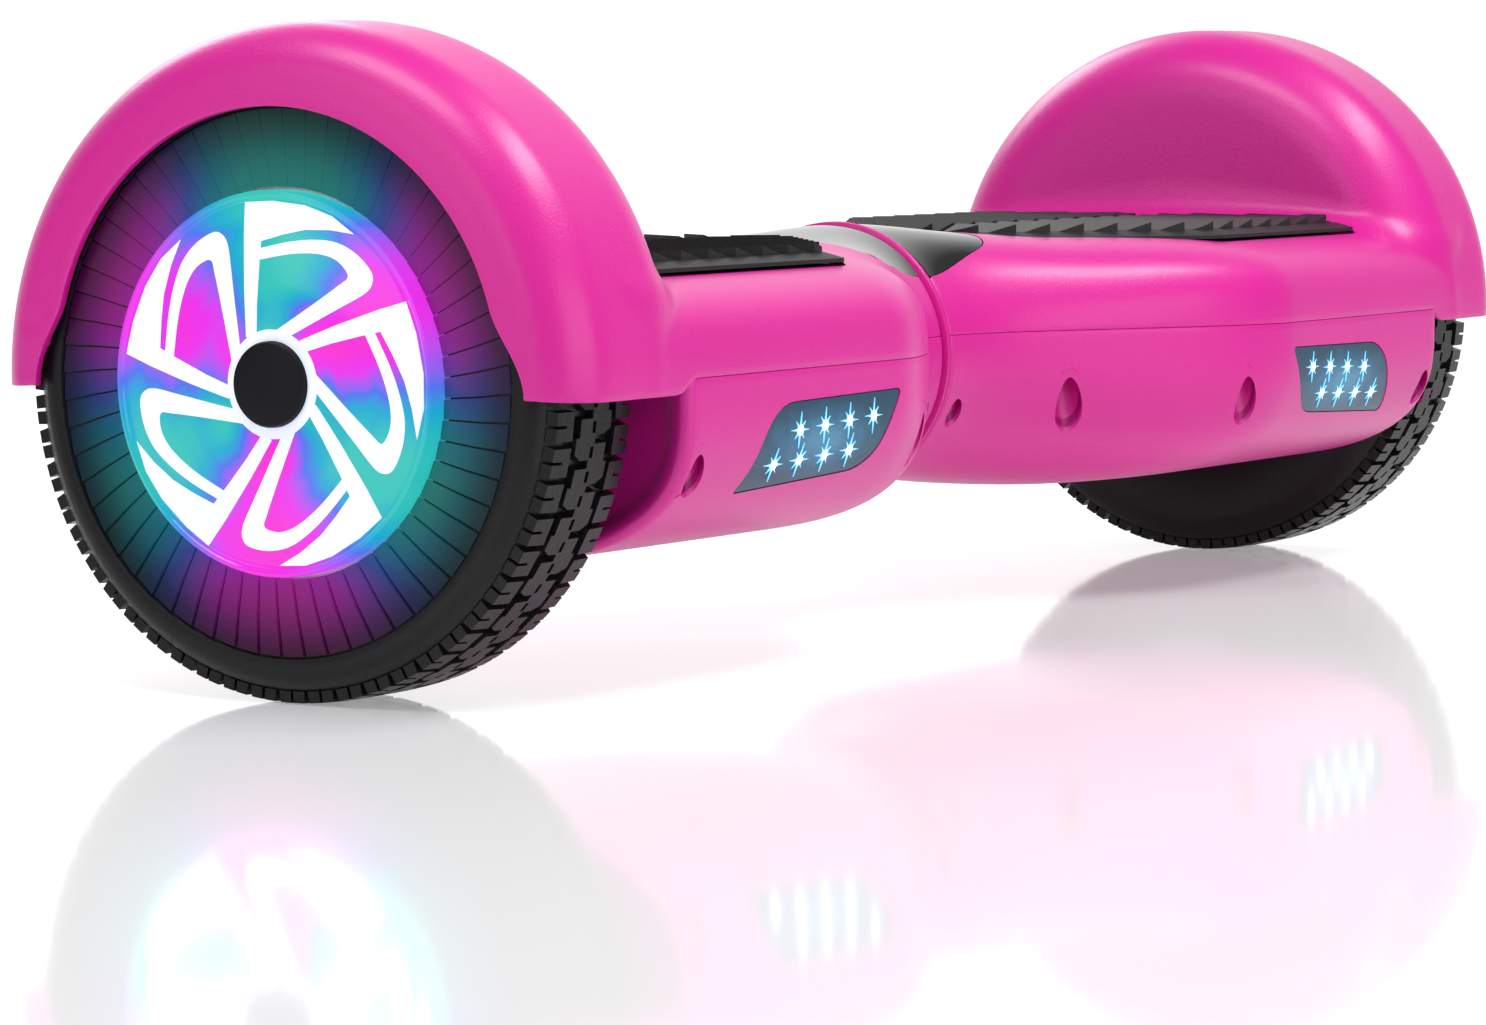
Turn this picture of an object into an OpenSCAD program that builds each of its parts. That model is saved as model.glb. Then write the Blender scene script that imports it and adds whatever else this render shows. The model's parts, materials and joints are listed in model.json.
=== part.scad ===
// Self balancing hoverboard: two half bodies that twist about a hollow pivot
// tube, each with a hub motor wheel under its own mudguard, a sprung foot mat
// and a headlight. X runs along the board, -Y is the front, Z is up, and the
// origin is on the floor midway between the wheels.

/* [Wheels] */
// Outer radius of the solid rubber tyre
tyre_r = 84; // [80:1:88]
// Width of the tyre
tyre_w = 42; // [38:1:46]
// Distance from the middle of the board to the middle of each wheel
wheel_x = 265; // [262:1:268]
// Radius of the lit disc on the outside of the wheel
light_r = 50.2; // [46:0.1:51]
// Radius of the black cap in the middle of the disc
cap_r = 11.4; // [9:0.1:14]
// Number of screws that hold the motor's inner cover
cover_screw_count = 6; // [4:1:8]

/* [Body] */
// Depth of the body from front to back
body_d = 188; // [182:1:196]
// Height of the platform above the floor
platform_z = 113.5; // [112:0.5:116]
// Height of the underside above the floor
belly_z = 33.5; // [30:0.5:36]
// Radius of the round waist at the centre joint
waist_r = 39.2; // [38.5:0.1:42]
// Length of the blend from the waist to the full depth
blend_len = 124; // [115:1:126]
// Thickness of the moulded shells
wall = 3; // [2.5:0.1:3.5]
// Height of the line where the upper and lower shells meet
split_z = 85; // [84.5:0.5:86]
// Radius over the mudguard
guard_r = 94; // [92:0.5:97]
// Radius of the round opening in the outer face of the mudguard
guard_open_r = 70; // [66:1:74]
// Distance from the middle of the wheel to the outer face of the mudguard
guard_out = 25; // [23:1:29]
// Width of the gap at the split line, which shows as a groove
split_gap = 0.3; // [0.2:0.1:0.5]

/* [Centre joint] */
// Height of the pivot tube's axis
pivot_z = 79; // [78:0.5:80]
// Outer radius of the pivot tube
tube_r = 15; // [13:0.5:16]
// Bore radius of the pivot tube, which the wires pass through
tube_bore_r = 11; // [8:0.5:12]
// Wall of the plastic bushes in the left hub
bush_wall = 3; // [2:0.5:3]
// Running clearance between the tube and the bushes
bush_fit = 0.05; // [0.02:0.01:0.1]

/* [Foot mats] */
// Distance that a mat moves down under a foot
mat_travel = 1.5; // [1:0.1:2]
// Height of the mat's ridges above the floor
mat_top_z = 118.2; // [117:0.2:119]
// Distance across a mat from front to back
mat_d = 144; // [136:1:146]
// Clearance round a mat
mat_fit = 0.4; // [0.3:0.1:0.8]

/* [Frame and axles] */
// Thickness of the cast frame's plate
plate_t = 4; // [3:0.5:5]
// Radius of the axle where the clamp holds it
axle_r = 8; // [7:0.25:9]
// Distance across the flats on the clamped end of the axle
axle_flats = 12; // [10:0.5:13]
// Bore radius of the wheel bearings
bearing_bore_r = 7.5; // [7:0.25:8]
// Outer radius of the wheel bearings
bearing_r = 16; // [15:0.5:17]
// Width of the wheel bearings
bearing_w = 9; // [8:0.5:10]

/* [Motor] */
// Number of teeth and coils on the stator
tooth_count = 27; // [24:3:27]
// Number of magnets in the rotor
magnet_count = 30; // [28:2:32]
// Outer radius of the stator
stator_r = 43.7; // [43:0.1:44]
// Length of the stator's stack of laminations
stack_w = 20; // [16:1:22]
// Gap between the stator and the magnets
air_gap = 0.7; // [0.5:0.1:0.9]

/* [Headlights] */
// Distance from the middle of the board to the inner end of a headlight
lamp_x0 = 130; // [126:1:134]
// Distance from the middle of the board to the outer end of a headlight
lamp_x1 = 202; // [198:1:206]
// Height of the lower edge of a headlight
lamp_z0 = 54; // [52:1:56]
// Height of the upper edge of a headlight
lamp_z1 = 76; // [74:1:78]

/* [Controls] */
// Distance from the middle to the charging port
port_x = 150; // [140:1:155]
// Distance from the middle to the power button
button_x = 184; // [180:1:190]
// Height of the port and the button
control_z = 62; // [60:0.5:64]
// Radius of the power button
button_r = 7; // [6:0.25:7.5]
// Distance that the power button moves in
button_travel = 1; // [0.6:0.1:1.2]

/* [Hidden] */

pink = "#e23aa0";
black = "#202022";
steel = "#a9adb2";
cast_metal = "#8f9499";
copper = "#b4632c";
board_green = "#1f5a3a";
$fn = 64;

// Small distances
eps = 0.01;
gap = 0.3;
slide_fit = 0.06;
shaft_fit = 0.02;

// The wheel and its motor, measured along the axle from the wheel's middle
axle_z = tyre_r;
half_tyre = tyre_w / 2;
rotor_r = stator_r + air_gap + 2.6;
seat_r = rotor_r + 6;
casting_out = 18;
casting_in = -20;
hub_plate_t = 3.5;
cover_t = 3.5;
stator_mid = -2;
magnet_t = 2.2;
magnet_w = stack_w + 4;
coil_reach = 3.5;
boss_r = bearing_r + 4;
board_t = 1.6;
disc_x = guard_out;
disc_wall = 2;
cap_proud = 2;
stator_bore_r = 10;
yoke_r = 24;
web_w = 8;

// The body
inner_wall_x = wheel_x - 36;
rim_x = inner_wall_x + 7;
guard_x = wheel_x + guard_out;
half_d = body_d / 2;
joint_gap = 1.5;
end_wall = 2.5;
body_steps = 18;
round_steps = 36;
skirt_drop = 4;
tube_hole_r = tube_r + 1;

// The centre joint
bush_r = tube_r + bush_fit + bush_wall;
hub_r = bush_r + 6;
hub_x0 = 6;
hub_x1 = 46;
bush_len = 12;
ring_t = 1.5;
ring_x = hub_x1 + 0.7;
tube_x = ring_x + ring_t + 2;

// The frame, the axle clamp and the electronics
plate_z = 90;
plate_top = plate_z + plate_t;
clamp_x1 = inner_wall_x - 7;
clamp_x0 = clamp_x1 - 36;
clamp_y = 25;
clamp_bolt_y = 17;
clamp_drop = 13;
bolt_r = 3;
bolt_head_r = 5;
frame_x1 = inner_wall_x - 5;
frame_y = half_d - 22;
frame_outline = [[30, -28], [62, -44], [108, -frame_y], [frame_x1, -frame_y],
    [frame_x1, frame_y], [108, frame_y], [62, 44], [30, 28]];
rail_y = frame_y - 20;
screw_sites = [[62, 40], [105, half_d - 30], [frame_x1 - 10, half_d - 26]];
screw_r = 1.9;
screw_head_r = 3.8;
screw_seat_z = 58;
screw_tip_z = 103;
pillar_r = 5;
pocket_r = 4.8;
cell_box = [114, 76, 40];
cell_x0 = 70;
board_x0 = 72;
board_len = 108;
board_w = 74;
board_z = plate_z - 4 - board_t;
driver_h = 9;
sink_x0 = 78;
sink_len = 96;
sink_w = 38;
sink_h = 31.5;
sink_base = 6;
fin_count = 8;
fin_t = 3;
fin_pitch = (sink_w - fin_t) / (fin_count - 1);

// The foot mats and what they press on
mat_floor_z = platform_z - 4;
mat_base_z = mat_floor_z + mat_travel + gap;
mat_skirt_z = mat_floor_z + 6.5;
mat_x0 = 52;
mat_x1 = inner_wall_x - 7;
mat_corner = 9;
mat_outline = [[mat_x0, 16], [64, 30], [118, mat_d / 2], [mat_x1, mat_d / 2]];
peg_sites = [[112, 34], [168, 34]];
peg_r = 4;
peg_end_z = 106.2;
blade_t = 2.4;
blade_w = 7;
blade_end_z = 101.5;
sensor_z = 97;
eye_h = 5.6;

// The port and the button, which sit in round openings at the back
control_r = 12;
control_y = half_d - 5;
hinge_y = control_y + 2.4;
hinge_z = control_z + 11.2;
pin_r = 1;
socket_r = 6;
plug_r = 4.4;
plug_reach = 3;

// The panels
panel_x0 = 6;
panel_x1 = 46;
panel_y = 31;
panel_t = 2.2;
lens_t = 2.4;
lamp_round = 9;
lamp_lean = 12;
lamp_tilt = 13.5;
lamp_board = [62, 13];
lamp_board_y = half_d - 7.8;
led_size = 3;
led_h = 1.4;

// Smooth step from 0 to 1
function ease(t) = let(c = min(max(t, 0), 1)) c * c * (3 - 2 * c);

// The body's cross-section at a distance s from the middle: half depth, rise
// above and drop below the pivot axis, and how square its top and bottom are
function half_depth(s) = waist_r + (body_d / 2 - waist_r) * ease((s - 2) / blend_len);
function rise(s) = waist_r + (platform_z - pivot_z - waist_r) * ease((s - 4) / 70);
function drop(s) = waist_r + (pivot_z - belly_z - waist_r) * ease((s - 4) / 90);
function square_top(s) = 2 + 2.2 * ease((s - 4) / 110);
function square_low(s) = 2 + 0.9 * ease((s - 4) / 110);

function body_point(s, a, inset) =
    let(up = sin(a) >= 0)
    let(w = half_depth(s) - inset)
    let(h = (up ? rise(s) : drop(s)) - inset)
    let(p = up ? square_top(s) : square_low(s))
    let(r = pow(pow(abs(cos(a)) / w, p) + pow(abs(sin(a)) / h, p), -1 / p))
    [s, r * cos(a), pivot_z + r * sin(a)];

// A solid with the body's cross-section from s0 to s1, drawn in by inset
module body_solid(inset, s0, s1) {
    stations = concat([s0], [for (i = [1 : body_steps - 1]) i * rim_x / body_steps], [s1]);
    kept = [for (s = stations) if (s == s0 || s == s1 || (s > s0 + 1 && s < s1 - 1)) s];
    n = round_steps;
    last = len(kept) - 1;
    points = [for (s = kept) for (j = [0 : n - 1]) body_point(s, 360 * j / n, inset)];
    sides = [for (i = [0 : last - 1]) for (j = [0 : n - 1])
        let(a = i * n + j, b = i * n + (j + 1) % n, c = b + n, d = a + n)
        each [[a, d, c], [a, c, b]]];
    start = [for (j = [0 : n - 1]) j];
    finish = [for (j = [n - 1 : -1 : 0]) last * n + j];
    polyhedron(points, concat(sides, [start, finish]));
}

// Evaluates its children as one mesh, for shells that are smooth and not round
module as_mesh() resize([0, 0, 0]) union() children();

// Puts a piece that is drawn for the right half on the side asked for
module on_side(side) mirror([side < 0 ? 1 : 0, 0, 0]) children();

// A round piece on an axis along X: its Z becomes X
module along_x(x, z) translate([x, 0, z]) rotate([0, 90, 0]) children();

module rod_x(x0, x1, z, r) along_x(x0, z) cylinder(r = r, h = x1 - x0);

module ring_x_between(x0, x1, z, r, bore) along_x(x0, z) difference() {
    cylinder(r = r, h = x1 - x0);
    translate([0, 0, -1]) cylinder(r = bore, h = x1 - x0 + 2);
}

// A round piece on an axis along Y, from y0 back to y1
module rod_y(x, y0, y1, z, r) translate([x, y1, z]) rotate([90, 0, 0]) cylinder(r = r, h = y1 - y0);

// The same thing at the front and at the back
module front_and_back() {
    children();
    mirror([0, 1, 0]) children();
}

module at_sites(sites) for (p = sites) front_and_back() translate([p[0], p[1], 0]) children();

// The mat's outline seen from above, grown by more
module mat_shape(more) {
    back = [for (p = mat_outline) p];
    front = [for (i = [len(mat_outline) - 1 : -1 : 0]) [mat_outline[i][0], -mat_outline[i][1]]];
    offset(r = mat_corner + more, $fn = 24) offset(delta = -mat_corner) polygon(concat(back, front));
}

// The headlight's outline in X and Z: two opposite corners are round
module lamp_shape(more) offset(delta = more) hull() {
    corner = 0.5;
    translate([lamp_x0, lamp_z1 - corner]) square(corner);
    translate([lamp_x1 - lamp_lean - lamp_round, lamp_z1 - lamp_round]) circle(r = lamp_round, $fn = 32);
    translate([lamp_x1 - corner, lamp_z0]) square(corner);
    translate([lamp_x0 + lamp_lean / 2 + lamp_round, lamp_z0 + 2.5 + lamp_round]) circle(r = lamp_round, $fn = 32);
}

module lamp_prism(more, y0, y1) translate([0, y1, 0]) rotate([90, 0, 0])
    linear_extrude(y1 - y0) lamp_shape(more);

// The indicator panel's outline seen from above
module panel_shape(more) {
    round_r = 12;
    offset(delta = more) hull() {
        translate([panel_x0, -panel_y]) square([1, 2 * panel_y]);
        for (y = [-1, 1]) translate([panel_x1 - round_r, y * (panel_y - round_r)])
            circle(r = round_r, $fn = 32);
    }
}

// Round profiles of the mudguard, in radius and X
module guard_profile(inset, open_to) {
    shoulder_in = 22 - inset;
    shoulder_out = 17 - inset;
    r = guard_r - inset;
    x0 = inner_wall_x + inset;
    x1 = guard_x - inset;
    steps = 5;
    rise_in = [for (i = [0 : steps]) let(a = 90 * i / steps)
        [r - 22 + 22 * sin(a), x0 + shoulder_in * (1 - cos(a))]];
    fall_out = [for (i = [0 : steps]) let(a = 90 * i / steps)
        [r - 22 + 22 * cos(a), x1 - shoulder_out * (1 - sin(a))]];
    polygon(concat([[0, x0]], rise_in, fall_out, [[guard_open_r, x1], [guard_open_r, x1 + open_to], [0, x1 + open_to]]));
}

module guard_solid(inset, open_to) along_x(0, axle_z) rotate_extrude($fn = 64) guard_profile(inset, open_to);

// Everything above or below a height, over the right half
module above(z) translate([0, -150, z]) cube([400, 300, 200]);
module below(z) translate([0, -150, z - 200]) cube([400, 300, 200]);

// Upper shell with the mudguard, drawn for the right half
module upper_shell(side) color(pink) on_side(side) as_mesh() difference() {
    union() {
        difference() {
            intersection() {
                body_solid(0, joint_gap, inner_wall_x + wall);
                above(split_z + split_gap / 2);
            }
            body_solid(wall, joint_gap + end_wall, inner_wall_x);
        }
        intersection() {
            body_solid(1, joint_gap + 2, inner_wall_x);
            translate([0, 0, mat_floor_z - wall]) linear_extrude(10) mat_shape(wall);
        }
        intersection() {
            guard_solid(0, 0);
            union() {
                above(split_z + split_gap / 2);
                translate([rim_x + gap, 0, 0]) above(split_z - skirt_drop);
            }
        }
        intersection() {
            body_solid(1, joint_gap + 2, inner_wall_x);
            at_sites(screw_sites) translate([0, 0, plate_top + gap]) cylinder(r = pillar_r, h = 40, $fn = 24);
        }
    }
    guard_solid(wall, 30);
    along_x(inner_wall_x - 20, axle_z) cylinder(r = axle_r + 6, h = 40, $fn = 32);
    translate([0, 0, mat_floor_z]) linear_extrude(40) mat_shape(mat_fit);
    at_sites(peg_sites) translate([0, 0, 80]) cylinder(r = peg_r + 1, h = 60, $fn = 24);
    at_sites(screw_sites) translate([0, 0, 80]) cylinder(r = screw_r + 0.25, h = screw_tip_z + 1 - 80, $fn = 24);
    translate([0, 0, 95]) linear_extrude(40) panel_shape(gap);
    along_x(0, pivot_z) cylinder(r = tube_hole_r, h = 5, $fn = 48);
}

// Lower shell, drawn for the right half
module lower_shell(side, controls) color(pink) on_side(side) as_mesh() difference() {
    union() {
        difference() {
            intersection() {
                body_solid(0, joint_gap, rim_x);
                below(split_z - split_gap / 2);
            }
            body_solid(wall, joint_gap + end_wall, inner_wall_x);
            body_solid(wall, inner_wall_x + wall, rim_x + 5);
        }
        intersection() {
            body_solid(1, joint_gap + 2, inner_wall_x);
            at_sites(screw_sites) cylinder(r = pocket_r + 2, h = screw_seat_z + wall, $fn = 24);
        }
    }
    at_sites(screw_sites) cylinder(r = pocket_r, h = screw_seat_z, $fn = 24);
    at_sites(screw_sites) cylinder(r = screw_r + 0.4, h = 100, $fn = 24);
    along_x(inner_wall_x - 20, axle_z) cylinder(r = axle_r + 6, h = 40, $fn = 32);
    lamp_prism(gap, -130, -60);
    along_x(0, pivot_z) cylinder(r = tube_hole_r, h = 5, $fn = 48);
    if (controls) {
        for (x = [port_x, button_x]) rod_y(x, 60, 120, control_z, control_r + gap);
        hinge_block(60, 60, gap);
    }
}

// The block beside the charging port that its cap's hinge stands on
module hinge_block(y, d, more) translate([port_x - 8 - more, y, control_z])
    cube([16 + 2 * more, d, hinge_z + 3 - control_z + more]);

// Headlight lens: a piece of the body's own surface
module headlight_lens(side) color("#1d6d8c") on_side(side) as_mesh() intersection() {
    lamp_prism(0, -130, -60);
    difference() {
        body_solid(0, 40, rim_x);
        body_solid(lens_t, 30, rim_x + 5);
    }
}

// Circuit board with eight light emitters behind the lens
module headlight_board(side) color(board_green) on_side(side) {
    translate([(lamp_x0 + lamp_x1) / 2, -lamp_board_y, (lamp_z0 + lamp_z1) / 2]) rotate([lamp_tilt, 0, 0]) {
        translate([-lamp_board[0] / 2, 0, -lamp_board[1] / 2]) cube([lamp_board[0], board_t, lamp_board[1]]);
        for (i = [0 : 3]) for (row = [-1, 1])
            translate([13 * (i - 1.5) - 3 * row - led_size / 2, -led_h, 4 * row - led_size / 2])
                cube([led_size, led_h + eps, led_size]);
    }
}

// Glossy indicator panel on top of the waist
module indicator_panel(side) color(black) on_side(side) as_mesh() intersection() {
    translate([0, 0, 95]) linear_extrude(40) panel_shape(0);
    difference() {
        body_solid(0, joint_gap, 90);
        body_solid(panel_t, joint_gap - 1, 95);
    }
}

// Cast frame: plate, side rails, centre hub, axle seat and screw pillars
module frame_half(side, hub_bore) color(cast_metal) on_side(side) difference() {
    union() {
        difference() {
            translate([0, 0, plate_z]) linear_extrude(plate_t) polygon(frame_outline);
            for (x = [90, 128, 166]) translate([x, 0, plate_z - 1]) cylinder(r = 10, h = plate_t + 2);
        }
        front_and_back() translate([112, rail_y, plate_z - 10]) cube([clamp_x1 - 112, plate_t, 11]);
        rod_x(hub_x0, hub_x1, pivot_z, hub_r);
        translate([clamp_x0, -clamp_y, axle_z + gap]) cube([clamp_x1 - clamp_x0, 2 * clamp_y, plate_z + 1 - axle_z - gap]);
        at_sites(screw_sites) translate([0, 0, screw_seat_z + wall + gap])
            cylinder(r = pillar_r, h = plate_z + 1 - screw_seat_z - wall - gap);
        for (x = [96, 184]) front_and_back() translate([x, 40, plate_top - 1]) cylinder(r = 3.5, h = sensor_z - plate_top + 1);
    }
    rod_x(hub_x0 - 1, hub_x1 + 1, pivot_z, hub_bore);
    rod_x(hub_x1, tube_x + 2, pivot_z, tube_r + 4);
    rod_x(clamp_x0 - 1, inner_wall_x, axle_z, axle_r + shaft_fit);
    at_sites(screw_sites) cylinder(r = screw_r + 0.2, h = 120);
    at_clamp_bolts() cylinder(r = bolt_r + 0.1, h = 120);
    at_sites(peg_sites) translate([0, 0, plate_z - 1]) cylinder(r = peg_r + 2, h = plate_t + 2);
}

module at_clamp_bolts() for (x = [clamp_x0 + 8, clamp_x1 - 8]) front_and_back() translate([x, clamp_bolt_y, 0]) children();

// Cap that holds the axle up into the frame
module axle_clamp(side) color(cast_metal) on_side(side) difference() {
    translate([clamp_x0, -clamp_y, axle_z - clamp_drop]) cube([clamp_x1 - clamp_x0, 2 * clamp_y, clamp_drop - gap]);
    rod_x(clamp_x0 - 1, clamp_x1 + 1, axle_z, axle_r + shaft_fit);
    at_clamp_bolts() cylinder(r = bolt_r + 0.1, h = 120);
}

module clamp_bolts(side) color(steel) on_side(side) at_clamp_bolts() {
    seat = axle_z - clamp_drop;
    translate([0, 0, seat - 5]) difference() {
        cylinder(r = bolt_head_r, h = 5);
        translate([0, 0, -1]) cylinder(r = 2.5, h = 4, $fn = 6);
    }
    translate([0, 0, seat - eps]) cylinder(r = bolt_r, h = plate_top - seat);
}

// Motor shaft: bearing seats at each side of the stator, flats in the clamp
module axle(side) color(steel) on_side(side) difference() {
    union() {
        rod_x(clamp_x0, wheel_x + casting_in - 8, axle_z, axle_r);
        rod_x(wheel_x + casting_in - 8 - eps, wheel_x + casting_out - hub_plate_t + 2, axle_z, bearing_bore_r - shaft_fit);
        rod_x(wheel_x + stator_mid - web_w / 2 - 1, wheel_x + stator_mid + web_w / 2 + 1, axle_z, stator_bore_r - shaft_fit);
    }
    for (z = [-1, 1]) translate([clamp_x0 - 1, -20, axle_z + (z > 0 ? axle_flats / 2 : -axle_flats / 2 - 10)])
        cube([clamp_x1 - clamp_x0 + 2, 40, 10]);
    rod_x(clamp_x0 - 1, wheel_x - 14, axle_z, 3.5);
}

module slots(count, inner, outer, w_in, w_out) for (i = [0 : count - 1]) rotate([0, 0, 360 * (i + 0.5) / count])
    polygon([[inner, -w_in], [outer, -w_out], [outer, w_out], [inner, w_in]]);

// Laminated core with one tooth for each coil
tooth_half = 1.9;
slot_r0 = 29.5;
slot_r1 = stator_r - 2.2;
function slot_half(r) = r * tan(180 / tooth_count) - tooth_half;
module stator(side) color("#5b5e62") on_side(side) along_x(wheel_x + stator_mid, axle_z) {
    translate([0, 0, -stack_w / 2]) linear_extrude(stack_w) difference() {
        circle(r = stator_r, $fn = 128);
        circle(r = yoke_r);
        slots(tooth_count, slot_r0, slot_r1, slot_half(slot_r0), slot_half(slot_r1));
        slots(tooth_count, slot_r1 - 1, stator_r + 1, 1, 1);
    }
    translate([0, 0, -web_w / 2]) linear_extrude(web_w) difference() {
        circle(r = yoke_r + eps);
        circle(r = stator_bore_r);
        for (i = [0 : 5]) rotate(60 * i) translate([(yoke_r + stator_bore_r) / 2, 0]) circle(r = 4);
    }
}

// One coil of copper wire round each tooth
module windings(side) color(copper) on_side(side) along_x(wheel_x + stator_mid, axle_z)
    for (i = [0 : tooth_count - 1]) rotate([0, 0, 360 * i / tooth_count]) difference() {
        r0 = slot_r0 + 3;
        reach = stack_w / 2 + coil_reach;
        leg = slot_half(r0) + tooth_half - 0.15;
        translate([r0, -leg, -reach]) cube([slot_r1 - 1 - r0, 2 * leg, 2 * reach]);
        translate([r0 - 1, -tooth_half - 0.1, -stack_w / 2 - 0.1])
            cube([slot_r1 + 2 - r0, 2 * tooth_half + 0.2, stack_w + 0.2]);
    }

// Levelling board with a light gate under each peg of the mat
module sensor_board(side) color(board_green) on_side(side) difference() {
    union() {
        translate([92, -46, sensor_z]) cube([96, 92, board_t]);
        at_sites(peg_sites) translate([-7, -5, sensor_z + board_t - eps]) cube([14, 10, eye_h]);
        translate([134, -8, sensor_z + board_t - eps]) cube([12, 16, 4]);
    }
    at_sites(peg_sites) translate([-blade_t / 2 - 0.6, -10, sensor_z + board_t + 1]) cube([blade_t + 1.2, 20, 20]);
}

module battery_pack() color("#2e5fa8") on_side(-1) {
    cell_z = plate_z - gap - cell_box[2];
    difference() {
        translate([cell_x0, -cell_box[1] / 2, cell_z]) cube(cell_box);
        for (x = [cell_x0 - 1, cell_x0 + cell_box[0] - 2]) translate([x, -30, cell_z + 6]) cube([3, 60, 3]);
    }
}

// Leads that end on the pivot axis, so that they only turn as the halves twist
lead_r = 6;
module battery_lead() color("#c23a2e") on_side(-1) {
    rod_x(tube_x + 0.5, cell_x0, pivot_z, lead_r);
}

module wiring_loom() color(black) {
    rod_x(-tube_x, 71, pivot_z, lead_r);
    translate([70, -14, board_z - gap - 8]) cube([7, 28, 8]);
}

// Main board, hung under the frame's plate, with its capacitors and power transistors
module main_board() color(board_green) {
    translate([board_x0, -board_w / 2, board_z]) cube([board_len, board_w, board_t]);
    for (x = [board_x0 + 5, board_x0 + board_len - 6]) front_and_back()
        translate([x, board_w / 2 - 4, board_z + board_t - eps]) cylinder(r = 3, h = plate_z - board_z - board_t + eps);
    for (x = [96, 116]) front_and_back() translate([x, 28.5, board_z - 20]) cylinder(r = 7, h = 20 + eps);
    for (i = [0 : 5]) front_and_back() translate([sink_x0 + 6 + 15 * i, 4, board_z - driver_h])
        cube([10, 14, driver_h + eps]);
}

// Finned heat sink that the power transistors are clamped to
module heat_sink() color(cast_metal) translate([sink_x0, -sink_w / 2, board_z - driver_h - sink_h]) difference() {
    cube([sink_len, sink_w, sink_h]);
    for (i = [0 : fin_count - 2]) translate([-1, fin_t + i * fin_pitch, -1])
        cube([sink_len + 2, fin_pitch - fin_t, sink_h - sink_base + 1]);
}

module speaker() color(black) translate([200, 38, plate_z - gap - 10]) difference() {
    cylinder(r = 8, h = 10);
    translate([0, 0, -1]) cylinder(r = 2, h = 4);
}

module shell_screws(side) color(steel) on_side(side) at_sites(screw_sites) {
    translate([0, 0, screw_seat_z - 3]) difference() {
        cylinder(r = screw_head_r, h = 3);
        translate([-2.5, -0.5, -1]) cube([5, 1, 2.4]);
        translate([-0.5, -2.5, -1]) cube([1, 5, 2.4]);
    }
    translate([0, 0, screw_seat_z - eps]) cylinder(r = screw_r, h = screw_tip_z - screw_seat_z);
}

module joint_trim_ring() color(pink)
    ring_x_between(-joint_gap, joint_gap - gap, pivot_z, waist_r + 0.6, waist_r - 3.5);

module pivot_bushes() color("#e8e6df") for (x = [-hub_x1, -hub_x0 - bush_len])
    ring_x_between(x, x + bush_len, pivot_z, bush_r, tube_r + bush_fit);

// Hollow tube, fixed in the right hub, that turns in the left hub's bushes
groove_depth = 1;
module pivot_tube() color(steel) difference() {
    rod_x(-tube_x, hub_x1, pivot_z, tube_r);
    rod_x(-tube_x - 1, hub_x1 + 1, pivot_z, tube_bore_r);
    ring_x_between(-ring_x - ring_t, -ring_x, pivot_z, tube_r + 1, tube_r - groove_depth);
}

module retaining_ring() color(steel) difference() {
    ring_x_between(-ring_x - ring_t + 0.05, -ring_x - 0.05, pivot_z, tube_r + 3, tube_r - groove_depth + 0.05);
    translate([-ring_x - ring_t - 1, -4, pivot_z - tube_r - 8]) cube([ring_t + 2, 8, 12]);
}

// Charging socket with the two ears and the pin that its cap swings on
module charge_port() color(black) difference() {
    union() {
        rod_y(port_x, control_y - 14, control_y, control_z, 8);
        rod_y(port_x, control_y - 3, control_y, control_z, control_r);
        hinge_block(control_y - 3, 3, 0);
        for (x = [-5.6, 4]) translate([port_x + x, control_y - 0.5, hinge_z - 2]) cube([1.6, 4.3, 3.6]);
        rod_x_at(port_x - 5, port_x + 5, hinge_y, hinge_z, pin_r);
    }
    rod_y(port_x, control_y - 8, control_y + 6, control_z, socket_r);
}

module rod_x_at(x0, x1, y, z, r) translate([0, y, 0]) rod_x(x0, x1, z, r);

module charge_port_cap() color(black) difference() {
    union() {
        rod_y(port_x, control_y + gap, control_y + 2.3, control_z, 8.6);
        rod_y(port_x, control_y - plug_reach, control_y + 1, control_z, plug_r);
        rod_x_at(port_x - 3.6, port_x + 3.6, hinge_y, hinge_z, 1.9);
        translate([port_x - 3.6, control_y + gap, control_z + 6]) cube([7.2, 2, hinge_z - control_z - 6]);
    }
    rod_x_at(port_x - 8, port_x + 8, hinge_y, hinge_z, pin_r + slide_fit);
}

// Power button and the housing that it slides in
module button_housing() color(black) difference() {
    union() {
        rod_y(button_x, control_y - 14, control_y, control_z, control_r - 1.5);
        rod_y(button_x, control_y - 3, control_y, control_z, control_r);
    }
    rod_y(button_x, control_y - 12, control_y - 2.5, control_z, button_r + 1.4);
    rod_y(button_x, control_y - 6, control_y + 1, control_z, button_r + slide_fit);
}

module power_button() color("#3a3a3d") union() {
    rod_y(button_x, control_y - 8, control_y + 1.6, control_z, button_r);
    rod_y(button_x, control_y - 8, control_y - 2.5 - gap, control_z, button_r + 1.1);
}

// Foot mat: a rubber plate with a sloping skirt, slanted ridges, and two pegs
// at each end with the blades that the light gates read
module foot_mat(side) color(black) on_side(side) union() {
    translate([0, 0, mat_base_z]) linear_extrude(mat_skirt_z - mat_base_z) mat_shape(0);
    intersection() {
        translate([0, 0, mat_skirt_z - eps]) linear_extrude(mat_top_z - mat_skirt_z) mat_shape(-5);
        for (x = [40 : 16 : 250]) front_and_back() translate([x, 0, mat_skirt_z - 1]) linear_extrude(10)
            polygon([[0, 6], [7, 6], [-43, 80], [-50, 80]]);
    }
    at_sites(peg_sites) {
        translate([0, 0, peg_end_z]) cylinder(r = peg_r, h = mat_base_z - peg_end_z + 1);
        translate([-blade_t / 2, -blade_w / 2 + 0.5, blade_end_z]) cube([blade_t, blade_w - 1, peg_end_z - blade_end_z + 1]);
    }
}

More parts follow.
